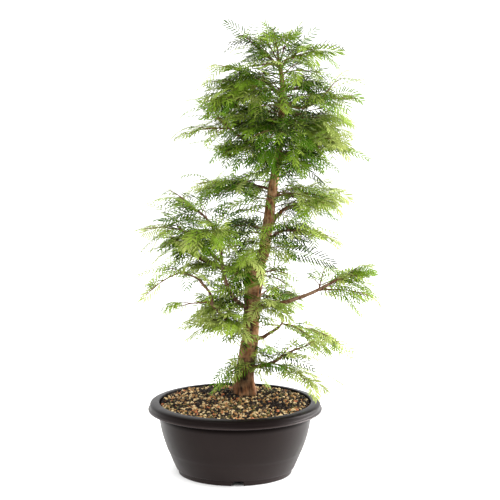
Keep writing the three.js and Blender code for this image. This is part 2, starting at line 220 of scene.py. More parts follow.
# The plastic's colour is its dust colour times a gain times a grey tone by height, which is painted light and
# shade: paler low down as painted light, black under the lip as painted shade, and pale along the lip's lower
# edge as a painted highlight.
POT_PAINTED_TONES = [  # height, tone
    (2, 0.36), (16, 0.3), (44, 0.24), (LIP_UNDER - 12, 0.23), (LIP_UNDER - 7, 0.1), (LIP_UNDER, 0.06),
    (LIP_UNDER + 1.2, 0.5), (LIP_UNDER + 3, 0.18), (POT_HEIGHT - 2, 0.11)]


def arc(across, up, radius, start, end, steps):
    """Points of a circle's arc between two angles in degrees, as [distance from the axis, height] rows."""
    angles = np.radians(np.linspace(start, end, steps))
    return np.stack([across + radius * np.cos(angles), up + radius * np.sin(angles)], 1)


def skin_faces(rings, sides):
    """Triangles of a closed skin: point 0 is a pole, then come the rings of points, and the last point is the
    other pole."""
    side = np.arange(sides)
    after = (side + 1) % sides
    start = 1 + side[None] + sides * np.arange(rings - 1)[:, None]
    beside = 1 + after[None] + sides * np.arange(rings - 1)[:, None]
    lower = np.stack([start, beside, beside + sides], -1).reshape(-1, 3)
    upper = np.stack([start, beside + sides, start + sides], -1).reshape(-1, 3)
    last = 1 + sides * (rings - 1)
    end = 1 + sides * rings
    foot = np.stack([np.zeros(sides, int), 1 + after, 1 + side], -1)
    top = np.stack([np.full(sides, end), last + side, last + after], -1)
    return np.concatenate([foot, lower, upper, top])


def lathe(profile, sides):
    """Turns a profile about the vertical axis: the first and last rows are the poles, and every row between
    them becomes a ring of points (r cos a, r sin a, h)."""
    angles = np.linspace(0, 2 * math.pi, sides, endpoint=False)
    ring = np.stack([np.cos(angles), np.sin(angles), np.ones(sides)], 1)
    rows = profile[1:-1, [0, 0, 1]]
    points = (rows[:, None] * ring[None]).reshape(-1, 3)
    return np.concatenate([[[0, 0, profile[0, 1]]], points, [[0, 0, profile[-1, 1]]]])


def make_piece(name, points, faces, material, smooth=True, relief=None):
    """Makes an object from points in millimetres and triangles, and fixes it to the tree's one body. Where
    relief is given, each point keeps its own as an attribute that the material reads."""
    mesh = bpy.data.meshes.new(name)
    mesh.vertices.add(len(points))
    mesh.vertices.foreach_set("co", (np.asarray(points, float) * MM).astype(np.float32).ravel())
    mesh.loops.add(faces.size)
    mesh.loops.foreach_set("vertex_index", faces.astype(np.int32).ravel())
    mesh.polygons.add(len(faces))
    mesh.polygons.foreach_set("loop_start", np.arange(0, faces.size, 3, dtype=np.int32))
    mesh.polygons.foreach_set("use_smooth", np.full(len(faces), smooth))
    mesh.update(calc_edges=True)
    if relief is not None:
        mesh.attributes.new("relief", "FLOAT", "POINT").data.foreach_set("value", relief.astype(np.float32))
    mesh.materials.append(material)
    piece = bpy.data.objects.new(name, mesh)
    scene.collection.objects.link(piece)
    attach(piece, "root")
    return piece


def pot_side(share, inset):
    """Points of the bellied side: the radius grows with the sine of the share of the way from heel to lip."""
    radius = POT_HEEL + (POT_SHOULDER - POT_HEEL) * np.sin(share * math.pi / 2) - inset
    height = FOOT_HEIGHT + 1 + (LIP_UNDER - FOOT_HEIGHT - 1) * share
    return np.stack([radius, height], -1)


# The outer face steps out at the moulding ring, by a logistic curve.
side_shares = np.linspace(0, 1, 46)
outer_side = pot_side(side_shares, 0)
outer_side[:, 0] += MOULDING_STEP / (1 + np.exp(-(side_shares - MOULDING_SHARE) * MOULDING_SHARPNESS))
inner_side = pot_side(np.linspace(1, 0.03, 16), POT_WALL)
pot_profile = np.concatenate([
    [[0, 0], [PAD_RADIUS - 0.6, 0], [PAD_RADIUS, 0.6]],
    [[PAD_RADIUS, FLOOR_LIFT - 0.6], [PAD_RADIUS + 0.6, FLOOR_LIFT]],
    [[FOOT_INNER - 2, FLOOR_LIFT], [FOOT_INNER, FLOOR_LIFT], [FOOT_INNER, 0.8], [FOOT_INNER + 0.8, 0]],
    arc(FOOT_RADIUS - 1, 1, 1, -90, 0, 5),
    [[FOOT_RADIUS, 4], [FOOT_RADIUS, FOOT_HEIGHT - 0.8], [FOOT_RADIUS + 0.6, FOOT_HEIGHT]],
    arc(POT_HEEL - 1.2, FOOT_HEIGHT + 1.2, 1.2, -90, -20, 4),
    outer_side[1:],
    [[POT_SHOULDER + 0.8, LIP_UNDER - 0.3], [POT_SHOULDER + 2, LIP_UNDER]],
    arc(POT_RIM - 1.5, LIP_UNDER + 1.5, 1.5, -90, 75, 9),
    [[POT_RIM - 2.1, LIP_UNDER + 3.5], [POT_RIM - 2.3, LIP_UNDER + 5], [POT_RIM - 2.6, LIP_UNDER + 8]],
    arc(POT_RIM - 6.2, POT_HEIGHT - 5.0, 3.6, 5, 68, 8),
    [[POT_RIM - 6.5, POT_HEIGHT - 1], [POT_MOUTH + 7, POT_HEIGHT - 0.5], [POT_MOUTH + 3, POT_HEIGHT - 0.05]],
    arc(POT_MOUTH + 1.4, POT_HEIGHT - 1.4, 1.4, 90, 180, 6),
    [[POT_MOUTH - 0.6, POT_HEIGHT - 6]],
    inner_side,
    [[FOOT_INNER, FLOOR_LIFT + POT_WALL], [0, FLOOR_LIFT + POT_WALL]],
])
pot_points = lathe(pot_profile, POT_SIDES)

# Each drain notch lifts the foot ring's edge into a half circle.
pot_angles = np.degrees(np.arctan2(pot_points[:, 1], pot_points[:, 0]))
pot_radii = np.hypot(pot_points[:, 0], pot_points[:, 1])
on_ring = (pot_radii > FOOT_INNER - 0.5) & (pot_radii < FOOT_RADIUS + 0.2) & (pot_points[:, 2] < FOOT_HEIGHT)
for bearing in NOTCH_BEARINGS:
    off = np.radians((pot_angles - bearing + 180) % 360 - 180) * FOOT_RADIUS
    arch = np.sqrt(np.clip(NOTCH_RADIUS ** 2 - off ** 2, 0, None)) * 0.97
    pot_points[:, 2] = np.where(on_ring, np.maximum(pot_points[:, 2], arch), pot_points[:, 2])


def noise(tree, place, spot, detail, roughness=0.5):
    """Cloudy noise from 0 to 1, with spots of a size in millimetres."""
    return add_node(tree, "ShaderNodeTexNoise", links={"Vector": place}, values={
        "Scale": 1 / (spot * MM), "Detail": detail, "Roughness": roughness}).outputs["Fac"]


def two_colours(tree, factor, first, second):
    """Two hex colours mixed by another node's output."""
    return add_node(tree, "ShaderNodeMixRGB", links={"Fac": factor}, values={
        "Color1": linear(first), "Color2": linear(second)}).outputs["Color"]


def emboss(tree, height, strength, depth):
    """Gives the tree's shader a bump from another node's output, of a depth in millimetres."""
    bump = add_node(tree, "ShaderNodeBump", values={"Strength": strength, "Distance": depth * MM},
                    links={"Height": height})
    tree.links.new(bump.outputs["Normal"], tree.nodes["Principled BSDF"].inputs["Normal"])


# Polypropylene with a fine moulded grain: a satin skin that mirrors nothing sharply, dusty in patches, and
# with painted light and shade by height. The grain is drawn at 0.8 mm, coarser than a mould's, so that it
# shows.
GRAIN_MM = 0.8
DUST_PATCH_MM = 1000 / 28
plastic, tree, shader = new_material("moulded_brown_polypropylene")
shader.inputs["IOR"].default_value = 1.49
shader.inputs["Specular Tint"].default_value = (1.0, 0.86, 0.84, 1)
place = add_node(tree, "ShaderNodeTexCoord").outputs["Object"]
dust = noise(tree, place, DUST_PATCH_MM, 4, 0.6)
dust_colour = two_colours(tree, dust, "#110a09", "#1a1211")
height = add_node(tree, "ShaderNodeSeparateXYZ", links={"Vector": place}).outputs["Z"]
# Painted light and shade: a grey tone by height, from the table above.
painted_tone = add_node(tree, "ShaderNodeValToRGB", links={"Fac": ramp(tree, height, 0, POT_HEIGHT * MM)})
while len(painted_tone.color_ramp.elements) < len(POT_PAINTED_TONES):
    painted_tone.color_ramp.elements.new(0.5)
for stop, (height, tone) in zip(painted_tone.color_ramp.elements, POT_PAINTED_TONES):
    stop.position = height / POT_HEIGHT
    stop.color = (tone, tone, tone, 1)
painted_colour = add_node(tree, "ShaderNodeMixRGB", {"blend_type": "MULTIPLY"}, {"Fac": 1}, {
    "Color1": dust_colour, "Color2": painted_tone.outputs["Color"]})
brighter = add_node(tree, "ShaderNodeMixRGB", {"blend_type": "MULTIPLY"}, {
    "Fac": 1, "Color2": (PAINTED_TONE_GAIN, PAINTED_TONE_GAIN, PAINTED_TONE_GAIN, 1)}, {"Color1": painted_colour.outputs["Color"]})
tree.links.new(brighter.outputs["Color"], shader.inputs["Base Color"])
# The shine follows the painted tone, so it is least in the painted shade under the lip.
tree.links.new(ramp(tree, painted_tone.outputs["Color"], 0.06, 0.56, 0, 0.5), shader.inputs["Specular IOR Level"])
tree.links.new(ramp(tree, dust, 0.3, 0.7, 0.32, 0.44), shader.inputs["Roughness"])
emboss(tree, noise(tree, place, GRAIN_MM, 2), 0.12, 0.1)

pot_faces = skin_faces(len(pot_profile) - 2, POT_SIDES)
pot = make_piece("training_pot", pot_points, pot_faces, plastic)
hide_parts("pot")


# ---- Potting mix ----
# A loose bonsai mix of pumice, fired clay, lava grit and bark chips, 2 to 8 mm across, heaped to a low mound.
# The bed is a dark closed body, and the grains lie on it in their own colours, pressed a little into it.

BED_EDGE = 104.6
BED_CROWN = 111.2
BED_RADIUS = 109.4
MOUND_START = 46
MOUND_POWER = 1.8
GRAIN_COUNT = 7000
GRAIN_SIZES = (1.2, 4.2)  # half the length of a grain, from the finest to the coarsest
DAMP_PATCHES = [(-28, 40, 30), (56, -46, 30), (-64, -18, 16)]  # centre x and y, and radius
TRUNK_FOOT = (14.5, 30)
BED_DEPTH = 3.4  # how far the bed lies under the mix's surface, so that the grains cover it
BED_SIDES = 160
FINE_POWER = 1.8  # makes fine grains commoner than coarse ones
FLAKE_SHARE = 0.2  # share of the grains that are long and flat, as bark chips are
FLAKE_SHAPE = (1.45, 0.8, 0.4)


def mound(radius):
    """Height of the mix: level in the middle, and from MOUND_START out it falls by the share of the way to the
    edge, raised to MOUND_POWER."""
    share = np.clip((radius - MOUND_START) / (BED_RADIUS - MOUND_START), 0, 1)
    return BED_CROWN - (BED_CROWN - BED_EDGE) * share ** MOUND_POWER


bed_radii = np.linspace(BED_RADIUS, 3, 40)
bed_side = pot_side(np.linspace(0.1, 0.97, 8), POT_WALL + 0.6)
bed_top = np.stack([bed_radii, mound(bed_radii) - BED_DEPTH], 1)
bed_profile = np.concatenate([[[0, bed_side[0, 1]]], bed_side, bed_top, [[0, BED_CROWN - BED_DEPTH]]])
random = np.random.default_rng(11)
bed_points = lathe(bed_profile, BED_SIDES)
on_top = (bed_points[:, 2] > BED_EDGE - 5) & (np.hypot(bed_points[:, 0], bed_points[:, 1]) < BED_RADIUS - 1)
bed_points[on_top, 2] += random.uniform(-0.9, 0.9, on_top.sum())


def speckled(name, dark, light, spot_mm, roughness):
    """A dull mineral or dead wood: two colours mixed by a noise of one spot size, which is its bump too."""
    material, tree, shader = new_material(name)
    shader.inputs["Roughness"].default_value = roughness
    shader.inputs["Specular IOR Level"].default_value = 0.3
    spots = noise(tree, add_node(tree, "ShaderNodeTexCoord").outputs["Object"], spot_mm, 3)
    colour = two_colours(tree, ramp(tree, spots, 0.3, 0.7), dark, light)
    tree.links.new(colour, shader.inputs["Base Color"])
    emboss(tree, spots, 0.5, 0.3)
    return material


# Painted shade: the bed is nearly black and quite dull, so that the gaps between the grains read dark.
painted_gap_shade_bed = speckled("painted_gap_shade_bed", "#140d07", "#2b1f13", 3, 0.95)
bed_faces = skin_faces(len(bed_profile) - 2, BED_SIDES)
bed = make_piece("mix_bed", bed_points, bed_faces, painted_gap_shade_bed)
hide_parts("soil")

# A grain is a 20-sided body: poles at its two ends and two rings of five points, each point pushed in or out.
CORNER_RADIUS = 0.894
CORNER_HEIGHT = 0.447
grain_corners = [(0, 0, -1)]
for first_turn, height in ((0, -CORNER_HEIGHT), (36, CORNER_HEIGHT)):
    for turn in np.radians(72 * np.arange(5) + first_turn):
        grain_corners.append((CORNER_RADIUS * math.cos(turn), CORNER_RADIUS * math.sin(turn), height))
GRAIN_POINTS = np.array([*grain_corners, (0, 0, 1)])


def unit(vectors):
    """Vectors scaled to length 1."""
    return vectors / np.linalg.norm(vectors, axis=-1, keepdims=True)


def turns(count, random):
    """Random turns in space, as rotation matrices worked out from unit quaternions."""
    w, x, y, z = unit(random.normal(size=(count, 4))).T
    return np.stack([
        1 - 2 * (y * y + z * z), 2 * (x * y - z * w), 2 * (x * z + y * w),
        2 * (x * y + z * w), 1 - 2 * (x * x + z * z), 2 * (y * z - x * w),
        2 * (x * z - y * w), 2 * (y * z + x * w), 1 - 2 * (x * x + y * y)], -1).reshape(count, 3, 3)


def copies(faces, count, stride):
    """The triangles of many like bodies, each body's points numbered on from the last one's."""
    return (faces[None] + stride * np.arange(count)[:, None, None]).reshape(-1, 3)


# Grains lie on a sunflower spiral, so that they cover the mound evenly, and each is pushed a little aside.
order = np.arange(GRAIN_COUNT) + 0.5
grain_radii = (BED_RADIUS - 0.5) * np.sqrt(order / GRAIN_COUNT)
grain_angles = order * math.pi * (3 - math.sqrt(5))
grain_places = np.stack([grain_radii * np.cos(grain_angles), grain_radii * np.sin(grain_angles)], 1)
grain_places += random.normal(0, 0.9, grain_places.shape)
grain_halves = np.interp(random.random(GRAIN_COUNT) ** FINE_POWER, [0, 1], GRAIN_SIZES)
reach = np.hypot(*grain_places.T)
inside = np.minimum(1, (BED_RADIUS - 0.7 * grain_halves) / reach)
grain_places *= inside[:, None]
from_trunk = np.hypot(grain_places[:, 0] - TRUNK_FOOT[0], grain_places[:, 1] - TRUNK_FOOT[1])
grain_heights = mound(np.hypot(*grain_places.T)) - 1.6 + random.uniform(-1.5, 1.3, GRAIN_COUNT)
stretch = random.uniform(0.62, 1, (GRAIN_COUNT, 1, 3))
stretch = stretch * random.uniform(0.82, 1.12, (GRAIN_COUNT, len(GRAIN_POINTS), 1))
grain_bodies = GRAIN_POINTS[None] * stretch * grain_halves[:, None, None]
flakes = random.random(GRAIN_COUNT) < FLAKE_SHARE
grain_bodies[flakes] *= FLAKE_SHAPE
grain_bodies = np.einsum("nij,nkj->nki", turns(GRAIN_COUNT, random), grain_bodies)
grain_bodies += np.concatenate([grain_places, grain_heights[:, None]], 1)[:, None]

# Crushed and fired minerals: dull, pitted faces in six speckled colours, with nearly black bark chips among
# them.
GRAIN_KINDS = [  # name, share of the grains, darker and lighter colour
    ("pumice_grit", 0.2, "#9a8158", "#d8c092"),
    ("fired_clay_grit", 0.22, "#6e4f2a", "#a67e4e"),
    ("orange_clay_grit", 0.04, "#84482a", "#b8744a"),
    ("grey_lava_grit", 0.1, "#2c241a", "#5c4c38"),
    ("mossy_grit", 0.1, "#2f2b10", "#5c5627"),
    ("brown_clay_grit", 0.34, "#0a0502", "#1e1108"),
]
# Damp bark lies darkest in patches, most of all round the trunk.
patches = np.sin(grain_places[:, 0] / 17 + 1.3) * np.cos(grain_places[:, 1] / 13 - 0.4)
patches += random.normal(0, 0.55, GRAIN_COUNT)
damp = sum(np.clip(1.5 - np.hypot(grain_places[:, 0] - x, grain_places[:, 1] - y) / radius, 0, 1)
           for x, y, radius in DAMP_PATCHES)
dark_pull = np.clip(1.3 - from_trunk / 34, 0, 1.0) + damp + 0.75 * patches
is_bark = flakes & (random.random(GRAIN_COUNT) < 0.7)
is_bark |= (dark_pull > 0.95) & (random.random(GRAIN_COUNT) < 0.8)
kind = np.searchsorted(np.cumsum([share for _, share, *_ in GRAIN_KINDS]), random.random(GRAIN_COUNT) * 0.999)
kind = np.where(is_bark, len(GRAIN_KINDS), kind)
# The upper ring is turned by half a step, so the triangles between the rings slant against a lathe's.
corner = np.arange(5)
beside = (corner + 1) % 5
icosahedron = skin_faces(2, 5)
icosahedron[5:15] = np.stack([
    np.stack([1 + corner, 1 + beside, 6 + corner], -1),
    np.stack([6 + corner, 1 + beside, 6 + beside], -1)], 1).reshape(-1, 3)
for index, (name, _, dark, light) in enumerate([*GRAIN_KINDS, ("bark_chips", 0, "#0c0603", "#24170c")]):
    chosen = grain_bodies[kind == index]
    crushed = speckled(f"crushed_{name}", dark, light, 2.2, 0.9)
    grains = make_piece(name, chosen.reshape(-1, 3), copies(icosahedron, len(chosen), len(GRAIN_POINTS)),
                        crushed, smooth=False)
    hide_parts("soil")


# ---- Trunk ----
# The bare stem of a young dawn redwood, lean and slightly waved, with its root flare. Its bark is thin,
# reddish brown and fibrous, split lengthwise into strips. At mid height a healed chop steps it over to a
# thinner leader.

TRUNK = np.array([  # height, centre x, centre y, radius
    (112.3, 14.5, 30, 16.0),
    (122, 14.2, 30, 15.4),
    (141, 14, 29, 14.2),
    (165, 17.4, 28, 13.2),
    (195, 22.2, 26, 12.8),
    (220, 23.2, 25, 11.9),
    (256, 26, 25, 12.4),
    (288, 28.4, 24.5, 14.2),
    (304, 29.2, 24, 15),
    (313, 34, 22.5, 12.8),
    (322, 41.2, 21, 9.4),
    (338, 44.2, 20, 8.3),
    (375, 49.2, 20, 7.7),
    (426, 56.1, 19, 7.0),
    (456, 60.4, 17, 5.8),
    (478, 64, 16, 5.2),
    (534, 68.2, 16, 4.4),
    (575, 68.8, 15, 3.6),
    (602, 64.6, 14, 2.9),
])
FLARE_TOES = 5
FLARE_REACH = 5.5
FLARE_HEIGHT = 26
FLARE_TURN = 35
TRUNK_STRIPS = 16  # strips of bark round the trunk
BURL_SWELL = 0.045  # how much broad swellings add to the radius
TRUNK_SIDES = 120
TRUNK_RINGS = 640
SHADED_BELOW = 150  # up to this height the weathered patches are faint, as painted shade, and from the next height up they show fully
UNSHADED_FROM = 200
FIBRE_MM = 0.9


def trunk_at(heights):
    """Centre x, centre y and radius at each height: cubic Hermite curves through the sections, whose slope at
    a section is the one between its two neighbours."""
    at = TRUNK[:, 0]
    rows = TRUNK[:, 1:]
    slopes = np.empty_like(rows)
    slopes[1:-1] = (rows[2:] - rows[:-2]) / (at[2:] - at[:-2])[:, None]
    slopes[0] = (rows[1] - rows[0]) / (at[1] - at[0])
    slopes[-1] = (rows[-1] - rows[-2]) / (at[-1] - at[-2])
    i = np.clip(np.searchsorted(at, heights, side="right") - 1, 0, len(at) - 2)
    span = (at[i + 1] - at[i])[..., None]
    t = np.clip((heights - at[i])[..., None] / span, 0, 1)
    return (rows[i] * (2 * t ** 3 - 3 * t ** 2 + 1) + rows[i + 1] * (3 * t ** 2 - 2 * t ** 3)
            + slopes[i] * span * (t ** 3 - 2 * t ** 2 + t) + slopes[i + 1] * span * (t ** 3 - t ** 2))


def ripple(around, along, cells_around, cells_along, random):
    """Smooth random values from -1 to 1 over a skin: numbers drawn at the corners of a lattice that closes
    on itself around, blended between corners by the smoothstep 3t^2 - 2t^3. Both places run from 0 to 1."""
    lattice = random.uniform(-1, 1, (cells_along + 2, cells_around))
    x = (around % 1) * cells_around
    y = np.clip(along, 0, 1) * cells_along
    i = np.floor(x).astype(int)
    j = np.floor(y).astype(int)
    s = (x - i) ** 2 * (3 - 2 * (x - i))
    t = (y - j) ** 2 * (3 - 2 * (y - j))
    i = i % cells_around
    beside = (i + 1) % cells_around
    here = lattice[j, i] * (1 - s) + lattice[j, beside] * s
    above = lattice[j + 1, i] * (1 - s) + lattice[j + 1, beside] * s
    return here * (1 - t) + above * t


def bark_relief(around, along, strips, length, random):
    """Height of the bark from -1 to 1: ridged strips (1 - 2|ripple|) that wander sideways, at two widths,
    with fine fibres on them. strips is how many lie round the limb, and length its length in millimetres."""
    wander = 0.035 * ripple(around, along, 6, max(2, round(length / 40)), random)
    place = around + wander
    broad = 1 - 2 * np.abs(ripple(place, along, strips, max(2, round(length / 26)), random))
    narrow = 1 - 2 * np.abs(ripple(place, along, 2 * strips, max(2, round(length / 13)), random))
    fibres = ripple(place, along, 4 * strips, max(2, round(length / 5)), random)
    return 0.5 * broad + 0.32 * narrow + 0.18 * fibres


def sweep_skin(centres, across, beyond, radii):
    """A closed skin on rings: each ring's points are centre + radius (cos a across + sin a beyond), with a
    pole at the middle of the first ring and of the last."""
    angles = np.linspace(0, 2 * math.pi, radii.shape[1], endpoint=False)
    rings = centres[:, None] + radii[..., None] * (
        np.cos(angles)[None, :, None] * across[:, None] + np.sin(angles)[None, :, None] * beyond[:, None])
    return np.concatenate([centres[:1], rings.reshape(-1, 3), centres[-1:]])


random = np.random.default_rng(5)
trunk_shares = np.linspace(0, 1, TRUNK_RINGS)
trunk_heights = TRUNK[0, 0] - 3 + (TRUNK[-1, 0] - TRUNK[0, 0] + 3) * trunk_shares
trunk_sections = trunk_at(trunk_heights)
trunk_around = np.linspace(0, 1, TRUNK_SIDES, endpoint=False)[None]
low_share = np.clip(1 - (trunk_heights - TRUNK[0, 0]) / FLARE_HEIGHT, 0, 1)[:, None] ** 2
toe = np.clip(np.cos(FLARE_TOES * (trunk_around * 2 * math.pi - math.radians(FLARE_TURN))), 0, None)
trunk_length = TRUNK[-1, 0] - TRUNK[0, 0]
trunk_relief = bark_relief(trunk_around, trunk_shares[:, None], TRUNK_STRIPS, trunk_length, random)
burls = ripple(trunk_around, trunk_shares[:, None], 4, 22, random)
trunk_radii = trunk_sections[:, 2:]
relief_depth = 0.06 * trunk_radii + 0.35
trunk_radii = trunk_radii * (1 + BURL_SWELL * burls) + low_share * FLARE_REACH * toe
trunk_radii = trunk_radii + relief_depth * trunk_relief - 0.3
trunk_centres = np.stack([trunk_sections[:, 0], trunk_sections[:, 1], trunk_heights], 1)
level = np.tile([[1.0, 0, 0]], (TRUNK_RINGS, 1))
forward = np.tile([[0, 1.0, 0]], (TRUNK_RINGS, 1))
trunk_points = sweep_skin(trunk_centres, level, forward, trunk_radii)


def bark_material(name, fissure, strip, weathered, flake_mm):
    """Fibrous bark: colour runs with the relief from the fissure's to the strip's, and the dark of the
    fissures is partly painted shade. Weathered patches lie over it, fainter low on the trunk as painted shade
    near the mix. It is rough, and its bump is the fine fibre."""
    material, tree, shader = new_material(name)
    shader.inputs["Roughness"].default_value = 0.86
    shader.inputs["Specular IOR Level"].default_value = 0.25
    relief = add_node(tree, "ShaderNodeAttribute", {"attribute_name": "relief"}).outputs["Fac"]
    place = add_node(tree, "ShaderNodeTexCoord").outputs["Object"]
    # Partly painted shade: the fissures' colour is darker than the bark's own, for the shade in them.
    base = two_colours(tree, ramp(tree, relief, -0.4, 0.62), fissure, strip)
    patches = noise(tree, place, flake_mm, 4, 0.65)
    height = add_node(tree, "ShaderNodeSeparateXYZ", links={"Vector": place}).outputs["Z"]
    # Painted shade: the weathered patches fade out towards the mix, so the bark darkens low down.
    painted_light_cover = ramp(tree, height, SHADED_BELOW * MM, UNSHADED_FROM * MM, 0.35, 0.9)
    cover = add_node(tree, "ShaderNodeMapRange", values={"From Min": 0.42, "From Max": 0.66},
                     links={"Value": patches, "To Max": painted_light_cover})
    colour = add_node(tree, "ShaderNodeMixRGB", values={"Color2": linear(weathered)},
                      links={"Fac": cover.outputs["Result"], "Color1": base})
    tree.links.new(colour.outputs["Color"], shader.inputs["Base Color"])
    stretch = add_node(tree, "ShaderNodeMapping", values={"Scale": (1, 1, 0.14)}, links={"Vector": place})
    emboss(tree, noise(tree, stretch.outputs["Vector"], FIBRE_MM, 3), 0.6, 0.4)
    return material


# Old bark: warm brown strips with dark splits between them, whose dark is partly painted shade, weathered to
# grey-brown in large patches.
old_bark = bark_material("fibrous_redwood_bark", "#1c1109", "#8a5c3a", "#b3906a", 11)
trunk = make_piece("bark_of_trunk", trunk_points, skin_faces(TRUNK_RINGS, TRUNK_SIDES), old_bark,
                   relief=np.concatenate([[0], trunk_relief.ravel(), [0]]))
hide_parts("trunk")


# ---- Boughs ----
# Each bough is one tapering limb of reddish brown bark that heads out on a bearing and bends over a knee. It
# leaves the trunk at a height, or its parent bough at a share of that one's length.

BOUGHS = [  # name, parent, height or share, bearing, (reach, rise), knee (out, up), (root radius, end radius)
    ("bough_low_right", "trunk", 152, 332, (64, 26), (42, 1), (3.4, 1.6)),
    ("bough_low_right_rear", "trunk", 192, 8, (48, 24), (28, 3), (3.5, 1.6)),
    ("bough_long_right", "trunk", 242, 350, (128, 47), (64, 6), (3.8, 1.9)),
    ("bough_low_left", "trunk", 200, 218, (73, 57), (36, 18), (3.2, 2.0)),
    ("bough_low_left_outer", "bough_low_left", 0.97, 190, (47, 50), (3, 40), (2.0, 1.3)),
    ("bough_left_stem", "trunk", 240, 222, (61, 99), (57, 14), (3.6, 2.4)),
    ("bough_left_stem_top", "bough_left_stem", 0.97, 167, (46, 61), (10, 52), (2.3, 1.4)),
    ("bough_left_stem_side", "bough_left_stem", 0.87, 191, (65, 54), (34, 24), (2.2, 1.4)),
    ("bough_left_pruned", "trunk", 290, 202, (122, 59), (62, 10), (4.8, 2.6)),
    ("bough_mid_right", "trunk", 351, 13, (36, 42), (14, 34), (4.2, 2.2)),
    ("bough_mid_right_lower", "trunk", 341, 329, (57, 21), (26, 26), (2.6, 1.4)),
    ("bough_upper_left", "trunk", 464, 188, (88, 62), (44, 22), (2.8, 1.4)),
    ("bough_upper_right", "trunk", 459, 337, (64, 22), (30, 27), (2.6, 1.4)),
    ("bough_top_left", "trunk", 554, 203, (43, 27), (20, 25), (2.6, 1.5)),
    ("bough_top_right", "trunk", 545, 340, (68, 19), (42, -14), (2.4, 1.3)),
    ("leader_left", "trunk", 598, 175, (42, 36), (20, 18), (2.0, 1.2)),
    ("leader_right", "trunk", 596, 12, (37, 28), (14, 19), (1.9, 1.2)),
]
BOUGH_STRIPS = 6  # strips of bark round a bough
COLLAR_LENGTH = 16  # length of the swelling where a bough leaves its parent
KNOT_SPACING = 5.3  # a bough thickens at a knot once in 2 pi times this length
BOUGH_SIDES = 20
BOUGH_RINGS = 72
UP = np.array([0, 0, 1.0])


def headed(bearing, out, up):
    """A step out on a bearing in degrees from +X towards +Y, and up."""
    angle = math.radians(bearing)
    return np.array([math.cos(angle) * out, math.sin(angle) * out, up])


def drooping(bearing, droop, long):
    """A step of some length on a bearing, below level by the droop in degrees."""
    fall = math.radians(droop)
    return headed(bearing, long * math.cos(fall), -long * math.sin(fall))


def trunk_centre(height):
    """The middle of the trunk at a height."""
    x, y, _ = trunk_at(np.array(float(height)))
    return np.array([x, y, height])


def bent(start, knee, end, shares):
    """Points of a quadratic Bezier curve: start (1 - t)^2 + 2 knee t (1 - t) + end t^2."""
    t = np.atleast_1d(shares)[:, None]
    return start * (1 - t) ** 2 + knee * 2 * t * (1 - t) + end * t ** 2


def square_to(ways):
    """Two unit directions square to each way along a limb and to each other."""
    across = unit(np.cross(UP + 1e-3, ways))
    return across, np.cross(ways, across)


bough_curves = {}


def place_on(limb, at):
    """The middle of the trunk at a height, or of a bough at a share of its length."""
    return trunk_centre(at) if limb == "trunk" else bent(*bough_curves[limb], at)[0]


random = np.random.default_rng(23)
# Young bark: finer, smoother and darker than the trunk's, a little greyed.
young_bark = bark_material("young_redwood_bark", "#2c1b14", "#6b4833", "#8e745e", 7)
for name, parent, at, bearing, (reach_out, rise), knee, (root_radius, end_radius) in BOUGHS:
    start = place_on(parent, at)
    bough_curves[name] = (start, start + headed(bearing, *knee), start + headed(bearing, reach_out, rise))
    shares = np.linspace(0, 1, BOUGH_RINGS)
    length = math.hypot(reach_out, rise)
    centres = bent(*bough_curves[name], shares)
    bends = np.linspace(0, 1, 9)
    wobble = np.stack([np.interp(shares, bends, random.normal(0, 0.7, len(bends))) for _ in range(3)], 1)
    centres += wobble * np.sin(math.pi * shares)[:, None]
    ways = unit(np.gradient(centres, axis=0))
    around = np.linspace(0, 1, BOUGH_SIDES, endpoint=False)[None]
    relief = bark_relief(around, shares[:, None], BOUGH_STRIPS, length, random)
    collar = 0.5 * root_radius * np.clip(1 - shares * length / COLLAR_LENGTH, 0, 1) ** 2
    knots = 0.35 * np.clip(np.sin(shares * length / KNOT_SPACING + random.uniform(0, 6)), 0, 1) ** 6
    radii = (root_radius + (end_radius - root_radius) * shares + collar + knots)[:, None] + 0.24 * relief
    bough = make_piece(f"bark_of_{name}", sweep_skin(centres, *square_to(ways), radii),
                       skin_faces(BOUGH_RINGS, BOUGH_SIDES), young_bark,
                       relief=np.concatenate([[0], relief.ravel(), [0]]))
    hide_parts(name)


# ---- Dead wood ----
# Pruning and shade have left a few stubs and a bare twig on the boughs. They have lost their bark and dried
# to pale, grey-brown wood.

DEAD_WOOD = [  # bough, share of its length, bearing, droop, length, root radius, end radius
    ("bough_low_right_rear", 0.99, 8, -68, 9, 1.9, 1.2),
    ("bough_low_right_rear", 0.93, 186, -2, 27, 1.2, 0.6),
    ("bough_long_right", 0.99, 350, -40, 10, 2.1, 1.6),
    ("bough_left_pruned", 0.99, 202, -24, 4, 2.9, 2.5),
    ("bough_upper_right", 0.99, 330, -60, 12, 1.5, 0.8),
]


def arched(starts, reaches, sags, shares):
    """Points on arched shoots: start + reach s, lifted by 4 sag length s (1 - s)."""
    s = shares[..., None]
    lift = 4 * (sags * np.linalg.norm(reaches, axis=-1))[:, None, None] * s * (1 - s)
    return starts[:, None] + reaches[:, None] * s + UP * lift


def arched_way(reaches, sags, shares):
    """Unit directions along arched shoots: reach + up 4 sag length (1 - 2 s)."""
    s = shares[..., None]
    lift = 4 * (sags * np.linalg.norm(reaches, axis=-1))[:, None, None] * (1 - 2 * s)
    return unit(reaches[:, None] + UP * lift)


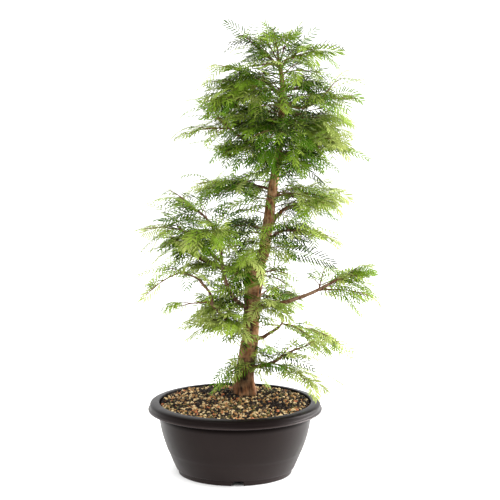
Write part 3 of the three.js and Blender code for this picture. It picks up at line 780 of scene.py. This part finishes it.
def shoots(starts, reaches, sags, roots, ends, rings, sides):
    """Closed tapering tubes along arched shoots: all their points, and the triangles of their skins."""
    count = len(starts)
    shares = np.tile(np.linspace(0, 1, rings), (count, 1))
    centres = arched(starts, reaches, sags, shares)
    across, over = square_to(arched_way(reaches, sags, shares))
    radii = roots[:, None] + (ends - roots)[:, None] * shares
    angles = np.linspace(0, 2 * math.pi, sides, endpoint=False)[:, None]
    skin = centres[:, :, None] + radii[..., None, None] * (
        np.cos(angles) * across[:, :, None] + np.sin(angles) * over[:, :, None])
    points = np.concatenate([centres[:, :1], skin.reshape(count, -1, 3), centres[:, -1:]], 1)
    return points.reshape(-1, 3), copies(skin_faces(rings, sides), count, rings * sides + 2)


dead_rows = []
for name, at, bearing, droop, long, root_radius, end_radius in DEAD_WOOD:
    dead_rows.append((place_on(name, at), drooping(bearing, droop, long), 0.04, root_radius, end_radius))
dead_points, dead_faces = shoots(*[np.array(column) for column in zip(*dead_rows)], 10, 12)
dead_points += np.random.default_rng(9).normal(0, 0.12, dead_points.shape)
# Dry wood: pale and dull, with fine dark checks.
dry_wood = speckled("dry_barkless_wood", "#6e5a46", "#b8a388", 1.6, 0.9)
dead_wood = make_piece("dead_wood", dead_points, dead_faces, dry_wood)
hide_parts("bough_low_right_rear", "bough_long_right", "bough_left_pruned", "bough_upper_right")


# ---- Twigs, branchlets and needles ----
# Each mass of foliage grows on from its bough by one rule. Brown stems fan out in tiers from the mass's root
# to its edge, twigs leave them on both sides, and green branchlets with two flat rows of needles leave both.
# Nothing grows much past the mass's own outline, so sky shows between the masses. Short twigs on the boughs
# and trunk, and single long shoots, break up the wider gaps.

MASSES = [  # name, limb, share or height, bearing, droop below level, (length, width, thickness), freshness with painted light and shade
    ("mass_low_right_tip", "bough_low_right", 0.58, 340, 14, (128, 36, 16), 0.65),
    ("mass_low_right_inner", "bough_low_right", 0.92, 350, -21, (78, 40, 18), 0.68),
    ("mass_low_right_rear", "bough_low_right_rear", 1, 8, 21, (108, 60, 28), 0.6),
    ("mass_long_right_tip", "bough_long_right", 0.84, 356, -22, (70, 52, 32), 0.5),
    ("mass_long_right_lower", "bough_long_right", 0.74, 345, 8, (106, 51, 28), 0.6),
    ("mass_long_right_upper", "bough_long_right", 0.78, 64, -40, (54, 50, 18), 0.5),
    ("mass_front_right_shoot", "trunk", 242, 322, -12, (66, 46, 34), 0.9),
    ("mass_low_left", "bough_low_left", 0.2, 208, -34, (84, 78, 70), 0.8),
    ("mass_low_left_tip", "bough_low_left_outer", 0.97, 194, 26, (86, 30, 14), 0.55),
    ("mass_low_left_inner", "bough_low_left_outer", 0.05, 194, 2, (76, 32, 16), 0.5),
    ("mass_front_low", "trunk", 206, 240, 4, (66, 38, 26), 0.54),
    ("mass_front_lowest", "trunk", 174, 224, 24, (82, 40, 20), 0.55),
    ("mass_left_stem_tip", "bough_left_stem_top", 0.85, 174, -33, (60, 44, 26), 0.35),
    ("mass_left_stem_inner", "bough_left_stem_top", 0.3, 258, 0, (72, 76, 48), 0.45),
    ("mass_left_side_tip", "bough_left_stem_side", 0.9, 188, 2, (64, 40, 22), 0.55),
    ("mass_left_side_rear", "bough_left_stem_side", 0.4, 160, -8, (66, 52, 30), 0.35),
    ("mass_left_pruned", "bough_left_pruned", 0.5, 208, 1, (60, 42, 22), 0.7),
    ("mass_mid_left_rear", "trunk", 419, 166, -2, (134, 64, 40), 0.5),
    ("mass_mid_left_front", "trunk", 332, 236, 8, (76, 66, 54), 0.7),
    ("mass_back_low", "trunk", 246, 62, -4, (104, 84, 36), 0.3),
    ("mass_back_mid", "trunk", 352, 128, 4, (112, 84, 42), 0.3),
    ("mass_mid_right", "bough_mid_right", 0.86, 3, -13, (78, 38, 17), 0.82),
    ("mass_mid_right_lower", "bough_mid_right_lower", 0.5, 338, 4, (96, 42, 19), 0.84),
    ("mass_mid_right_rear", "trunk", 288, 22, 2, (70, 56, 30), 0.55),
    ("mass_mid_right_high", "trunk", 408, 30, 2, (124, 64, 42), 0.72),
    ("mass_upper_left_tip", "bough_upper_left", 0.78, 186, 4, (82, 42, 22), 0.5),
    ("mass_upper_left_front", "bough_upper_left", 0.3, 218, -3, (74, 58, 36), 0.42),
    ("mass_upper_left_rear", "trunk", 506, 170, -17, (130, 68, 50), 0.45),
    ("mass_upper_right_tip", "bough_upper_right", 0.52, 348, -12, (76, 54, 34), 0.82),
    ("mass_upper_right_high", "trunk", 512, 18, 0, (98, 70, 48), 0.8),
    ("mass_back_high", "trunk", 520, 100, -6, (118, 96, 52), 0.3),
    ("mass_front_high", "trunk", 512, 262, 4, (96, 88, 50), 0.08),
    ("mass_front_upper", "trunk", 470, 280, 0, (88, 78, 50), 0.26),
    ("mass_top_right_rear", "trunk", 562, 14, -12, (58, 74, 54), 0.45),
    ("mass_top_left_tip", "bough_top_left", 0.75, 188, -17, (86, 46, 24), 0.5),
    ("mass_top_left_lower", "bough_top_left", 0.25, 182, 3, (116, 66, 50), 0.48),
    ("mass_top_right_tip", "bough_top_right", 0.2, 352, -10, (106, 48, 26), 0.42),
    ("mass_leader_left", "leader_left", 0.2, 184, -38, (48, 42, 36), 0.4),
    ("mass_leader_middle", "trunk", 602, 215, -80, (60, 74, 60), 0.45),
    ("mass_leader_right", "leader_right", 0.4, 352, -8, (70, 38, 24), 0.55),
]
MASS_SEAT = 5  # how far a mass's ellipsoid reaches back past its root
TIER_THICKNESS = 19
TRUNK_BARE = 18  # length beside the trunk that carries no branchlets
TWIG_SPACING = 33
TWIG_ANGLE = (46, 34)  # degrees off the stem, at its root and at its tip
LONGEST_TWIG = 70
SHORTEST_TWIG = 20
BRANCHLET_SPACING = 24
BRANCHLET_ANGLE = (62, 38)
BRANCHLET_LENGTH = 80
SHORTEST = 16
NEEDLE_SPACING = 4.9
NEEDLE_LENGTH = 13.5
NEEDLE_WIDTH = 1.85
NEEDLE_ANGLE = (74, 62, 30)  # degrees off the stalk, at its root, middle and tip
FEATHER_SPACING = 0.56  # this season's growth has its needles closer by this factor
FEATHER_SIZE = 1.2
DEAD_BELOW = -0.5  # a shoot of less freshness is dead
TINTS = [  # dead needles, and from the darkest, for old needles and painted shade, to the palest, for new growth and painted light; colour and shine
    ("needles_dead", "#9c5c2c", 0.2),
    ("needles_shaded", "#213204", 0.08),
    ("needles_deep", "#3f6208", 0.06),
    ("needles_leaf_green", "#69871e", 0.12),
    ("needles_fresh", "#879f36", 0.14),
    ("needles_bright", "#93a24c", 0.14),
    ("needles_new_growth", "#a2ae5c", 0.12),
]
LEAFY_BOUGHS = [  # bough, share where its side twigs begin, freshness with painted light and shade
    ("bough_low_right", 0.3, 0.5),
    ("bough_low_left_outer", 0.5, 0.45),
    ("bough_left_stem", 0.2, 0.4),
    ("bough_left_stem_top", 0.2, 0.35),
    ("bough_left_stem_side", 0.3, 0.35),
    ("bough_left_pruned", 0.08, 0.6),
    ("bough_mid_right", 0.05, 0.35),
    ("bough_mid_right_lower", 0.1, 0.45),
    ("bough_upper_left", 0.2, 0.4),
    ("bough_upper_right", 0.2, 0.5),
    ("bough_top_left", 0.25, 0.4),
    ("bough_top_right", 0.35, 0.5),
    ("leader_left", 0.1, 0.4),
    ("leader_right", 0.1, 0.45),
]
BOUGH_TWIG_SPACING = 13
LEAFY_TRUNK = (330, 602)  # heights between which the trunk carries twigs
TRUNK_TWIGS = 66
BARE_TRUNK = [(405, 466), (345, 384)]  # heights where it carries none in front, and its bark shows
SINGLE_SHOOTS = [  # limb, share or height, bearing, droop, length, size of its needles, freshness with painted light and shade
    ("bough_upper_left", 0.35, 184, -4, 96, 0.8, 0.45),
    ("bough_upper_left", 0.95, 182, -8, 46, 1.0, 0.3),
    ("trunk", 222, 330, 8, 44, 1.0, 0.6),
    ("trunk", 238, 298, 18, 46, 1.0, 0.5),
    ("trunk", 206, 320, 26, 40, 0.9, 0.5),
    ("bough_long_right", 1, 353, -24, 56, 0.9, 0.5),
    ("trunk", 176, 338, 40, 46, 1.1, 1.2),
    ("trunk", 182, 345, 44, 44, 1.2, 1.1),
    ("trunk", 190, 236, 18, 44, 1.2, 0.5),
    ("trunk", 214, 316, 6, 46, 1.1, 0.4),
    ("bough_left_stem", 0.2, 246, 26, 44, 1.1, 0.6),
    ("bough_left_stem", 0.35, 200, 18, 46, 1.1, 0.5),
    ("bough_left_stem", 0.3, 262, 4, 40, 1.1, 0.5),
    ("trunk", 352, 350, -4, 54, 1.1, 0.5),
    ("trunk", 356, 330, -8, 48, 1.1, 0.6),
    ("bough_low_right", 0.1, 330, 40, 38, 1.2, 1.0),
    ("trunk", 190, 326, 30, 42, 1.2, 0.4),
    ("trunk", 172, 338, 2, 62, 1.1, 0.6),
    ("trunk", 182, 345, 12, 56, 1.1, 0.7),
    ("trunk", 166, 326, -4, 56, 1.0, 0.6),
    ("bough_mid_right_lower", 0.6, 350, 12, 82, 0.9, 0.5),
    ("bough_mid_right_lower", 0.9, 0, 23, 70, 0.9, 0.6),
    ("bough_mid_right", 0.9, 358, 14, 76, 1.0, 0.6),
    ("bough_low_right", 0.22, 204, 24, 78, 1.0, 0.5),
    ("bough_low_right", 0.12, 212, 26, 52, 1.0, 0.5),
    ("trunk", 232, 318, 8, 40, 1.2, 0.7),
    ("trunk", 298, 232, 26, 58, 1.4, 0.5),
    ("trunk", 294, 216, 24, 54, 1.4, 0.6),
    ("bough_mid_right_lower", 0.8, 352, 6, 18, 0.8, -1),
    ("bough_mid_right", 0.6, 320, 10, 14, 0.8, -1),
    ("leader_left", 1, 180, -38, 46, 1.1, 0.5),
    ("leader_left", 0.9, 200, 14, 36, 1.0, 0.5),
    ("leader_right", 0.7, 10, -52, 46, 1.1, 0.5),
    ("leader_right", 0.3, 20, -66, 48, 1.1, 0.5),
    ("leader_right", 0.5, 60, -60, 44, 1.2, 0.5),
    ("leader_right", 0.15, 340, -10, 44, 1.1, 0.5),
    ("leader_left", 0.5, 186, -2, 46, 1.0, 0.5),
    ("trunk", 602, 190, -70, 64, 1.0, 0.9),
    ("trunk", 602, 10, -62, 68, 1.1, 0.9),
    ("trunk", 602, 200, -70, 62, 1.0, 0.7),
    ("leader_right", 0.5, 350, -6, 74, 1.1, 0.8),
    ("bough_top_right", 1, 355, -20, 56, 0.9, 0.6),
    ("bough_upper_right", 1, 350, 10, 76, 0.8, 0.6),
    ("bough_upper_right", 1, 5, 5, 66, 0.9, 0.6),
    ("bough_left_stem_side", 1, 192, 5, 62, 0.9, 0.5),
    ("bough_left_stem_top", 0.6, 200, 8, 58, 1.1, 0.5),
    ("bough_left_stem_top", 0.8, 188, 14, 54, 1.1, 0.5),
    ("bough_left_stem_top", 0.5, 20, -6, 50, 1.0, 0.5),
    ("bough_left_stem", 0.35, 196, -6, 44, 1.1, 0.5),
    ("trunk", 264, 212, 8, 54, 1.2, 0.65),
    ("trunk", 256, 216, 14, 48, 1.2, 0.65),
    ("trunk", 232, 222, -4, 46, 1.1, 0.5),
    ("trunk", 160, 332, 8, 60, 1.2, 0.7),
    ("trunk", 152, 318, -14, 50, 1.1, 0.6),
    ("trunk", 319, 350, 10, 118, 1.5, 0.35),
    ("trunk", 312, 350, 0, 44, 1.2, 0.5),
    ("bough_long_right", 0.96, 172, -12, 36, 1.1, 0.6),
    ("bough_long_right", 0.8, 350, 14, 72, 1.1, 0.6),
    ("bough_long_right", 0.95, 356, 4, 56, 1.1, 0.6),
    ("trunk", 452, 236, 14, 64, 1.2, 0.6),
    ("trunk", 448, 214, 10, 60, 1.2, 0.6),
    ("bough_left_stem_top", 1, 172, -14, 34, 1.2, 0.5),
    ("trunk", 392, 196, 2, 50, 1.2, 0.6),
    ("trunk", 346, 205, 6, 44, 1.1, 0.6),
    ("trunk", 344, 345, 0, 58, 1.2, 0.45),
    ("trunk", 340, 330, -4, 52, 1.1, 0.5),
    ("trunk", 366, 352, 0, 56, 1.2, 0.4),
    ("trunk", 362, 340, 4, 50, 1.2, 0.4),
    ("trunk", 404, 210, 4, 66, 1.2, 0.6),
    ("trunk", 398, 232, 6, 56, 1.2, 0.7),
    ("trunk", 398, 190, 2, 78, 1.1, 0.55),
    ("trunk", 392, 178, 4, 84, 1.1, 0.5),
    ("bough_left_stem_top", 0.4, 150, -14, 44, 1.2, 0.5),
    ("bough_left_pruned", 0.25, 200, 20, 50, 1.2, 0.4),
    ("bough_left_pruned", 0.45, 195, 30, 50, 1.2, 0.5),
    ("trunk", 224, 345, 0, 42, 1.3, 0.7),
    ("bough_left_stem", 0.5, 190, 10, 44, 1.2, 0.4),
    ("bough_left_stem", 0.4, 30, 0, 40, 1.1, 0.4),
    ("bough_left_stem", 0.6, 215, 30, 40, 1.2, 0.4),
    ("bough_left_stem", 0.3, 170, -10, 40, 1.1, 0.3),
    ("bough_low_right", 0.55, 344, 14, 132, 1.1, 0.6),
    ("bough_low_right", 0.1, 310, 0, 40, 1.3, 0.9),
    ("bough_low_right_rear", 1, 2, 31, 94, 1.2, 0.6),
    ("trunk", 328, 10, -6, 50, 1.1, 0.4),
    ("trunk", 342, 315, 20, 50, 1.2, 0.6),
    ("bough_left_stem", 0.15, 200, 0, 48, 1.2, 0.6),
    ("trunk", 278, 215, 6, 60, 1.2, 0.6),
    ("trunk", 268, 200, 10, 56, 1.1, 0.5),
    ("trunk", 226, 350, 10, 40, 1.2, 0.8),
    ("trunk", 224, 226, 8, 46, 1.2, 0.5),
    ("bough_left_pruned", 0.9, 206, 42, 74, 1.1, 0.6),
    ("trunk", 450, 190, 12, 50, 1.2, 0.5),
    ("trunk", 444, 175, 8, 44, 1.2, 0.5),
    ("trunk", 452, 340, 12, 50, 1.1, 0.5),
    ("trunk", 418, 350, 4, 84, 1.0, 0.6),
    ("trunk", 382, 335, 8, 44, 1.4, 0.8),
    ("trunk", 376, 322, 4, 40, 1.4, 0.8),
    ("trunk", 326, 352, 9, 104, 1.4, 0.4),
    ("bough_mid_right_lower", 0.35, 335, 6, 44, 1.5, 0.5),
    ("bough_mid_right_lower", 0.5, 325, 14, 42, 1.5, 0.5),
    ("trunk", 350, 185, 4, 40, 1.3, 0.5),
    ("trunk", 290, 205, 4, 58, 1.3, 0.6),
    ("trunk", 284, 222, 6, 64, 1.3, 0.7),
    ("trunk", 236, 320, 10, 36, 1.4, 0.6),
    ("trunk", 186, 320, 20, 44, 1.3, 0.4),
    ("trunk", 180, 335, 16, 50, 1.3, 0.8),
    ("bough_low_right", 0.9, 345, 0, 56, 1.1, 0.6),
    ("bough_top_left", 0.9, 186, 12, 46, 1.1, 0.4),
    ("bough_top_left", 0.5, 190, -30, 50, 1.2, 0.5),
    ("bough_top_right", 0.4, 330, -30, 46, 1.1, 0.5),
    ("trunk", 586, 300, -10, 44, 1.2, 0.4),
    ("trunk", 414, 190, 0, 110, 1.2, 0.55),
    ("trunk", 408, 178, -2, 84, 1.2, 0.5),
    ("trunk", 434, 200, 6, 62, 1.2, 0.5),
    ("trunk", 436, 345, 0, 60, 1.2, 0.5),
    ("bough_low_right", 0.3, 345, 10, 50, 1.2, 0.6),
    ("bough_low_right_rear", 1, 356, 37, 86, 1.4, 0.55),
    ("bough_low_right_rear", 1, 350, 30, 78, 1.3, 0.6),
    ("bough_long_right", 0.86, 346, 10, 80, 1.3, 0.5),
    ("bough_long_right", 0.94, 346, 20, 62, 1.4, 0.5),
    ("bough_long_right", 0.9, 335, 22, 58, 1.3, 0.45),
    ("bough_long_right", 0.76, 340, 10, 64, 1.3, 0.35),
    ("bough_left_stem_top", 0.96, 196, 2, 38, 1.3, 0.25),
    ("bough_left_stem_top", 0.88, 160, -8, 40, 1.3, 0.3),
    ("bough_left_stem_top", 0.78, 210, 4, 36, 1.3, 0.3),
    ("bough_left_stem_top", 0.66, 165, -4, 38, 1.2, 0.35),
]
GOLDEN_TURN = 137.5
LIT_REACH = 90  # beyond this distance from the trunk a branchlet gets the full painted light of its tint
LIGHT_GAIN = 0.3
TINT_LIMITS = (-0.4, 0.26, 0.42, 0.58, 0.76, 0.98)  # freshness with painted light where one tint gives way to the next
MOST_TRIANGLES = 190000  # in one piece


def room_left(points, ways, centre, axes, halves):
    """How far each point can go its way before it leaves an ellipsoid: the larger root of |q + t e| = 1,
    where q and e are the point and the way in the ellipsoid's own axes, each over its half size. It is 0
    where the way misses it."""
    q = (points - centre) @ axes.T / halves
    e = ways @ axes.T / halves
    qe = (q * e).sum(-1)
    ee = (e * e).sum(-1)
    inside = qe ** 2 - ee * ((q * q).sum(-1) - 1)
    return np.clip((-qe + np.sqrt(np.clip(inside, 0, None))) / ee, 0, None) * (inside > 0)


stems = []  # start, reach, sag, root radius, end radius
branchlets = []  # start, reach, sag, first needle's share, needle scale, freshness, spacing, roll, hang


def add_branchlet(start, reach, sag, first, scale, freshness_and_light):
    """Sets one branchlet with its own chances. About one in five is this season's growth: its needles are
    longer and lie close, like a feather. A branchlet is rolled about its own line, and its needles hang down
    by a share."""
    middle = start + reach / 2
    from_axis = np.linalg.norm((middle - trunk_centre(min(middle[2], TRUNK[-1, 0])))[:2])
    if freshness_and_light > DEAD_BELOW:
        # Painted shade and light: the tint darkens near the trunk and pales far from it.
        freshness_and_light += random.normal(0, 0.19) + LIGHT_GAIN * (min(from_axis / LIT_REACH, 1) - 0.6)
    chance = random.random()
    feathered = freshness_and_light > 0.92 or (freshness_and_light > 0.3 and np.linalg.norm(reach) > 26 and chance < 0.2)
    spacing = NEEDLE_SPACING * (FEATHER_SPACING if feathered else random.uniform(0.85, 1.2))
    size = scale * (FEATHER_SIZE if feathered else 1)
    roll = random.normal(0, 0.42)
    hang = random.uniform(-0.05, 0.4)
    branchlets.append((start, reach, sag, first, size, freshness_and_light, spacing, roll, hang))


def tilted(way, towards, degrees):
    """A way turned by some degrees towards another direction that is square to it."""
    angle = math.radians(degrees)
    return way * math.cos(angle) + towards * math.sin(angle)


def dress(start, reach, sag, first, room, scale, freshness_and_light):
    """Sets branchlets on both sides of a stem or twig, from a share of its length to its tip, and one more at
    the tip. Each leans forward, droops a little towards its tip and ends near the end of its room."""
    length = np.linalg.norm(reach)
    count = max(2, round(length * (1 - first) / BRANCHLET_SPACING))
    shares = first + (1 - first) * (np.arange(count) + random.uniform(0.15, 0.85, count)) / count
    shares = np.clip(np.repeat(shares, 2) + random.uniform(-0.02, 0.02, 2 * count), 0, 0.99)
    sides = np.tile([1.0, -1.0], count)
    bend = np.array([sag])
    places = arched(start[None], reach[None], bend, shares[None])[0]
    ways = arched_way(reach[None], bend, shares[None])[0]
    across, over = square_to(ways)
    lean = random.normal(0, 0.28, (len(shares), 1))
    across = across * np.cos(lean) + over * np.sin(lean)
    degrees = np.interp(shares, [first, 1], BRANCHLET_ANGLE) + random.normal(0, 8, len(shares))
    angle = np.radians(degrees)[:, None]
    heads = unit(ways * np.cos(angle) + across * sides[:, None] * np.sin(angle)
                 + UP * random.normal(0.04, 0.17, (len(shares), 1)))
    natural = 1 - 0.5 * ((shares - first) / (1 - first)) ** 2
    natural *= BRANCHLET_LENGTH * scale * random.uniform(0.66, 1.1, len(shares))
    lengths = np.minimum(natural, room(places, heads) * random.uniform(0.9, 1.9, len(shares)))
    kept = (lengths > SHORTEST) & (random.random(len(shares)) > 0.13)
    for place, head, long in zip(places[kept], heads[kept], lengths[kept]):
        droop = UP * long * random.uniform(0.05, 0.45)
        arch = random.uniform(0.07, 0.19)
        add_branchlet(place, head * long - droop, arch, 0.08, random.uniform(0.82, 1.1), freshness_and_light)
    tip_place = arched(start[None], reach[None], bend, np.array([[0.6]]))[0, 0]
    tip_reach = (start + reach - tip_place) * random.uniform(1, 1.15)
    tip_reach = tip_reach - UP * length * random.uniform(0.02, 0.1)
    add_branchlet(tip_place, tip_reach, sag * 0.4, 0.03, 0.95, freshness_and_light + 0.15)


for index, (name, limb, at, bearing, droop, size, freshness_and_light) in enumerate(MASSES):
    random = np.random.default_rng([41, index])
    anchor = place_on(limb, at)
    ahead = drooping(bearing, droop, 1)
    aside = headed(bearing + 90, 1, 0)
    over = np.cross(ahead, aside)
    axes = np.stack([ahead, aside, over])
    halves = np.array(size) / 2
    centre = anchor + ahead * (halves[0] - MASS_SEAT)

    def room(points, ways):
        """The room left inside this mass."""
        return room_left(points, ways, centre, axes, halves)

    tiers = max(1, round(size[2] / TIER_THICKNESS))
    bare = TRUNK_BARE / size[0] if limb == "trunk" else 0.04
    for tier in range(tiers):
        level_share = (2 * tier + 1) / tiers - 1
        spread = math.degrees(math.atan2(0.34 * size[2] * level_share, 0.5 * size[0]))
        head = tilted(tilted(ahead, over, spread + random.normal(0, 5)), aside, random.uniform(-9, 9))
        reach = head * room(anchor[None], head[None])[0] * random.uniform(0.93, 1.0)
        sag = random.uniform(0.03, 0.09)
        root = (1.7 if limb == "trunk" else 1.35) * (1 if tier == tiers // 2 else 0.75)
        stems.append((anchor, reach, sag, root, 0.5))
        dress(anchor, reach, sag, bare, room, 1.0, freshness_and_light)
        twig_shares = np.arange(bare + 0.06, 0.78, TWIG_SPACING / size[0])
        for share in twig_shares + random.uniform(-0.02, 0.02, len(twig_shares)):
            here = arched(anchor[None], reach[None], np.array([sag]), np.array([[share]]))[0, 0]
            for side in (1, -1):
                turn = np.interp(share, [0, 1], TWIG_ANGLE) + random.normal(0, 5)
                way = unit(tilted(head, aside * side, turn) + over * random.normal(0, 0.1))
                long = min(room(here[None], way[None])[0], LONGEST_TWIG) * random.uniform(0.85, 1)
                if long > SHORTEST_TWIG:
                    twig_sag = random.uniform(0.03, 0.1)
                    stems.append((here, way * long, twig_sag, 0.85, 0.4))
                    dress(here, way * long, twig_sag, 0.14, room, 0.85, freshness_and_light + 0.1)


def open_room(points, ways):
    """No limit but the branchlet's own length."""
    return np.full(len(points), float(BRANCHLET_LENGTH))


# Between the masses, short side twigs leave the leafy boughs in turn to the left and right.
for row, (name, first, freshness_and_light) in enumerate(LEAFY_BOUGHS):
    random = np.random.default_rng([43, row])
    curve = bough_curves[name]
    count = round((1 - first) * np.linalg.norm(curve[2] - curve[0]) / BOUGH_TWIG_SPACING)
    shares = np.linspace(first, 0.95, count)
    places = bent(*curve, shares)
    ways = unit(bent(*curve, shares + 0.02) - places)
    across, over = square_to(ways)
    for index in range(count):
        side = 1 if index % 2 else -1
        way = tilted(ways[index], across[index] * side, random.uniform(42, 66))
        way = unit(way + UP * random.normal(0.05, 0.25))
        long = random.uniform(24, 44)
        stems.append((places[index], way * long, 0.06, 0.9, 0.4))
        dress(places[index], way * long, 0.06, 0.2, open_room, 0.74, freshness_and_light)

# The upper trunk is leafy all round, with short twigs set a golden turn apart and closer together higher up.
random = np.random.default_rng(47)
leafy_length = LEAFY_TRUNK[1] - LEAFY_TRUNK[0]
for index, height in enumerate(LEAFY_TRUNK[0] + leafy_length * np.linspace(0, 1, TRUNK_TWIGS) ** 0.6):
    way = unit(headed(index * GOLDEN_TURN, 1, random.normal(0.15, 0.2)))
    long = random.uniform(44, 66)
    in_front = way[1] < -0.5
    if in_front and any(low < height < high for low, high in BARE_TRUNK):
        continue
    stems.append((trunk_centre(height), way * long, 0.07, 1.1, 0.4))
    dress(trunk_centre(height), way * long, 0.07, 0.25, open_room, 0.75, 0.4)

# Single long shoots carry their needles themselves and arch out past the masses.
for row, (limb, at, bearing, droop, long, scale, freshness_and_light) in enumerate(SINGLE_SHOOTS):
    random = np.random.default_rng([53, row])
    first = 0.14 if limb == "trunk" else 0.04
    add_branchlet(place_on(limb, at), drooping(bearing, droop, long), 0.08, first, scale, freshness_and_light)

twig_points, twig_faces = shoots(*[np.array(column) for column in zip(*stems)], 9, 6)
# Smooth young bark: warm brown and dull, thin lines between the green.
twig_bark = plain_material("smooth_twig_bark", "#653f25", 0.7, 0.5)
twigs = make_piece("twigs", twig_points, twig_faces, twig_bark)
mass_names = [name for name, *_ in MASSES]
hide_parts(*mass_names)

starts, reaches, sags, firsts, scales, freshness_and_light, spacing, rolls, hangs = [
    np.array(column) for column in zip(*branchlets)]
stalk_points, stalk_faces = shoots(
    starts, reaches, sags, np.full(len(starts), 0.5), np.full(len(starts), 0.25), 5, 4)
# Green skin: a soft-green line with a faint sheen down the middle of each branchlet.
stalk_skin = plain_material("green_stalk_skin", "#748236", 0.6, 0.5)
stalks = make_piece("branchlet_stalks", stalk_points, stalk_faces, stalk_skin)
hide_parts(*mass_names)

# A needle is a flat closed spindle: a point at each end and two rings of three points, a ridge over a flat
# underside.
NEEDLE_RINGS = ((0.28, 1.0), (0.78, 0.8))  # share of the length, share of the width
NEEDLE_SECTION = np.array([(0.5, 0), (0, 0.2), (-0.5, 0)])  # across and up, over the width
NEEDLE_BEND = 0.13  # how far the tip curves forward, over the length

random = np.random.default_rng(59)
lengths = np.linalg.norm(reaches, axis=1)
pairs = np.maximum(3, (lengths * (1 - firsts) / spacing).astype(int))
owner = np.repeat(np.arange(len(pairs)), pairs)
number = np.arange(len(owner)) - np.repeat(np.cumsum(pairs) - pairs, pairs)
along = firsts[owner] + (1 - firsts[owner]) * (number + 0.5) / pairs[owner]
owner = np.repeat(owner, 2)
along = np.repeat(along, 2)
hand = np.tile([1.0, -1.0], len(owner) // 2)
count = len(owner)
t = along[:, None]
lift = 4 * sags[owner, None] * lengths[owner, None]
bases = starts[owner] + reaches[owner] * t + UP * lift * t * (1 - t)
ways = unit(reaches[owner] + UP * lift * (1 - 2 * t))
roll = rolls[owner, None]
hang = hangs[owner, None]
flat = unit(np.cross(ways, UP + 1e-3))
face = np.cross(flat, ways)
flat, face = flat * np.cos(roll) + face * np.sin(roll), face * np.cos(roll) - flat * np.sin(roll)
angle = np.radians(np.interp(along, [0, 0.5, 1], NEEDLE_ANGLE) + random.normal(0, 4, count))[:, None]
heads = ways * np.cos(angle) + flat * hand[:, None] * np.sin(angle)
heads = unit(heads + face * random.normal(0, 0.06, (count, 1)) - UP * hang)
needle_lengths = NEEDLE_LENGTH * scales[owner] * np.interp(along, [0, 0.25, 0.7, 1], [0.62, 1.0, 0.98, 0.6])
needle_lengths *= random.uniform(0.88, 1.1, count)
broad = unit(np.cross(face, heads))
thick = np.cross(heads, broad)
points = np.empty((count, 8, 3), np.float32)
points[:, 0] = bases
points[:, 7] = bases + (heads + ways * NEEDLE_BEND) * needle_lengths[:, None]
for ring, (share, width) in enumerate(NEEDLE_RINGS):
    ahead = heads * share + ways * (NEEDLE_BEND * share ** 2)
    middle = bases + ahead * needle_lengths[:, None]
    for corner, (wide, up) in enumerate(NEEDLE_SECTION * NEEDLE_WIDTH * width):
        points[:, 1 + 3 * ring + corner] = middle + broad * wide + thick * up

# Needle cuticle: thin and a little waxy, one plain colour with a low, soft shine. The tints are dealt out by
# branchlet, by how fresh its mass is, by painted light and shade, darker near the trunk and in the masses set
# in shade and paler far out, and by chance.
tint = np.searchsorted(TINT_LIMITS, freshness_and_light)
needle_faces = skin_faces(2, 3)
for index, (name, colour, shine) in enumerate(TINTS):
    cuticle = plain_material(f"{name}_cuticle", colour, 0.5, shine)
    chosen = np.flatnonzero(tint[owner] == index)
    piece_count = max(1, math.ceil(len(chosen) * len(needle_faces) / MOST_TRIANGLES))
    for part, some in enumerate(np.array_split(chosen, piece_count)):
        needles = make_piece(f"{name}_{part + 1}", points[some].reshape(-1, 3),
                             copies(needle_faces, len(some), 8), cuticle, smooth=False)
        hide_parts(*mass_names)
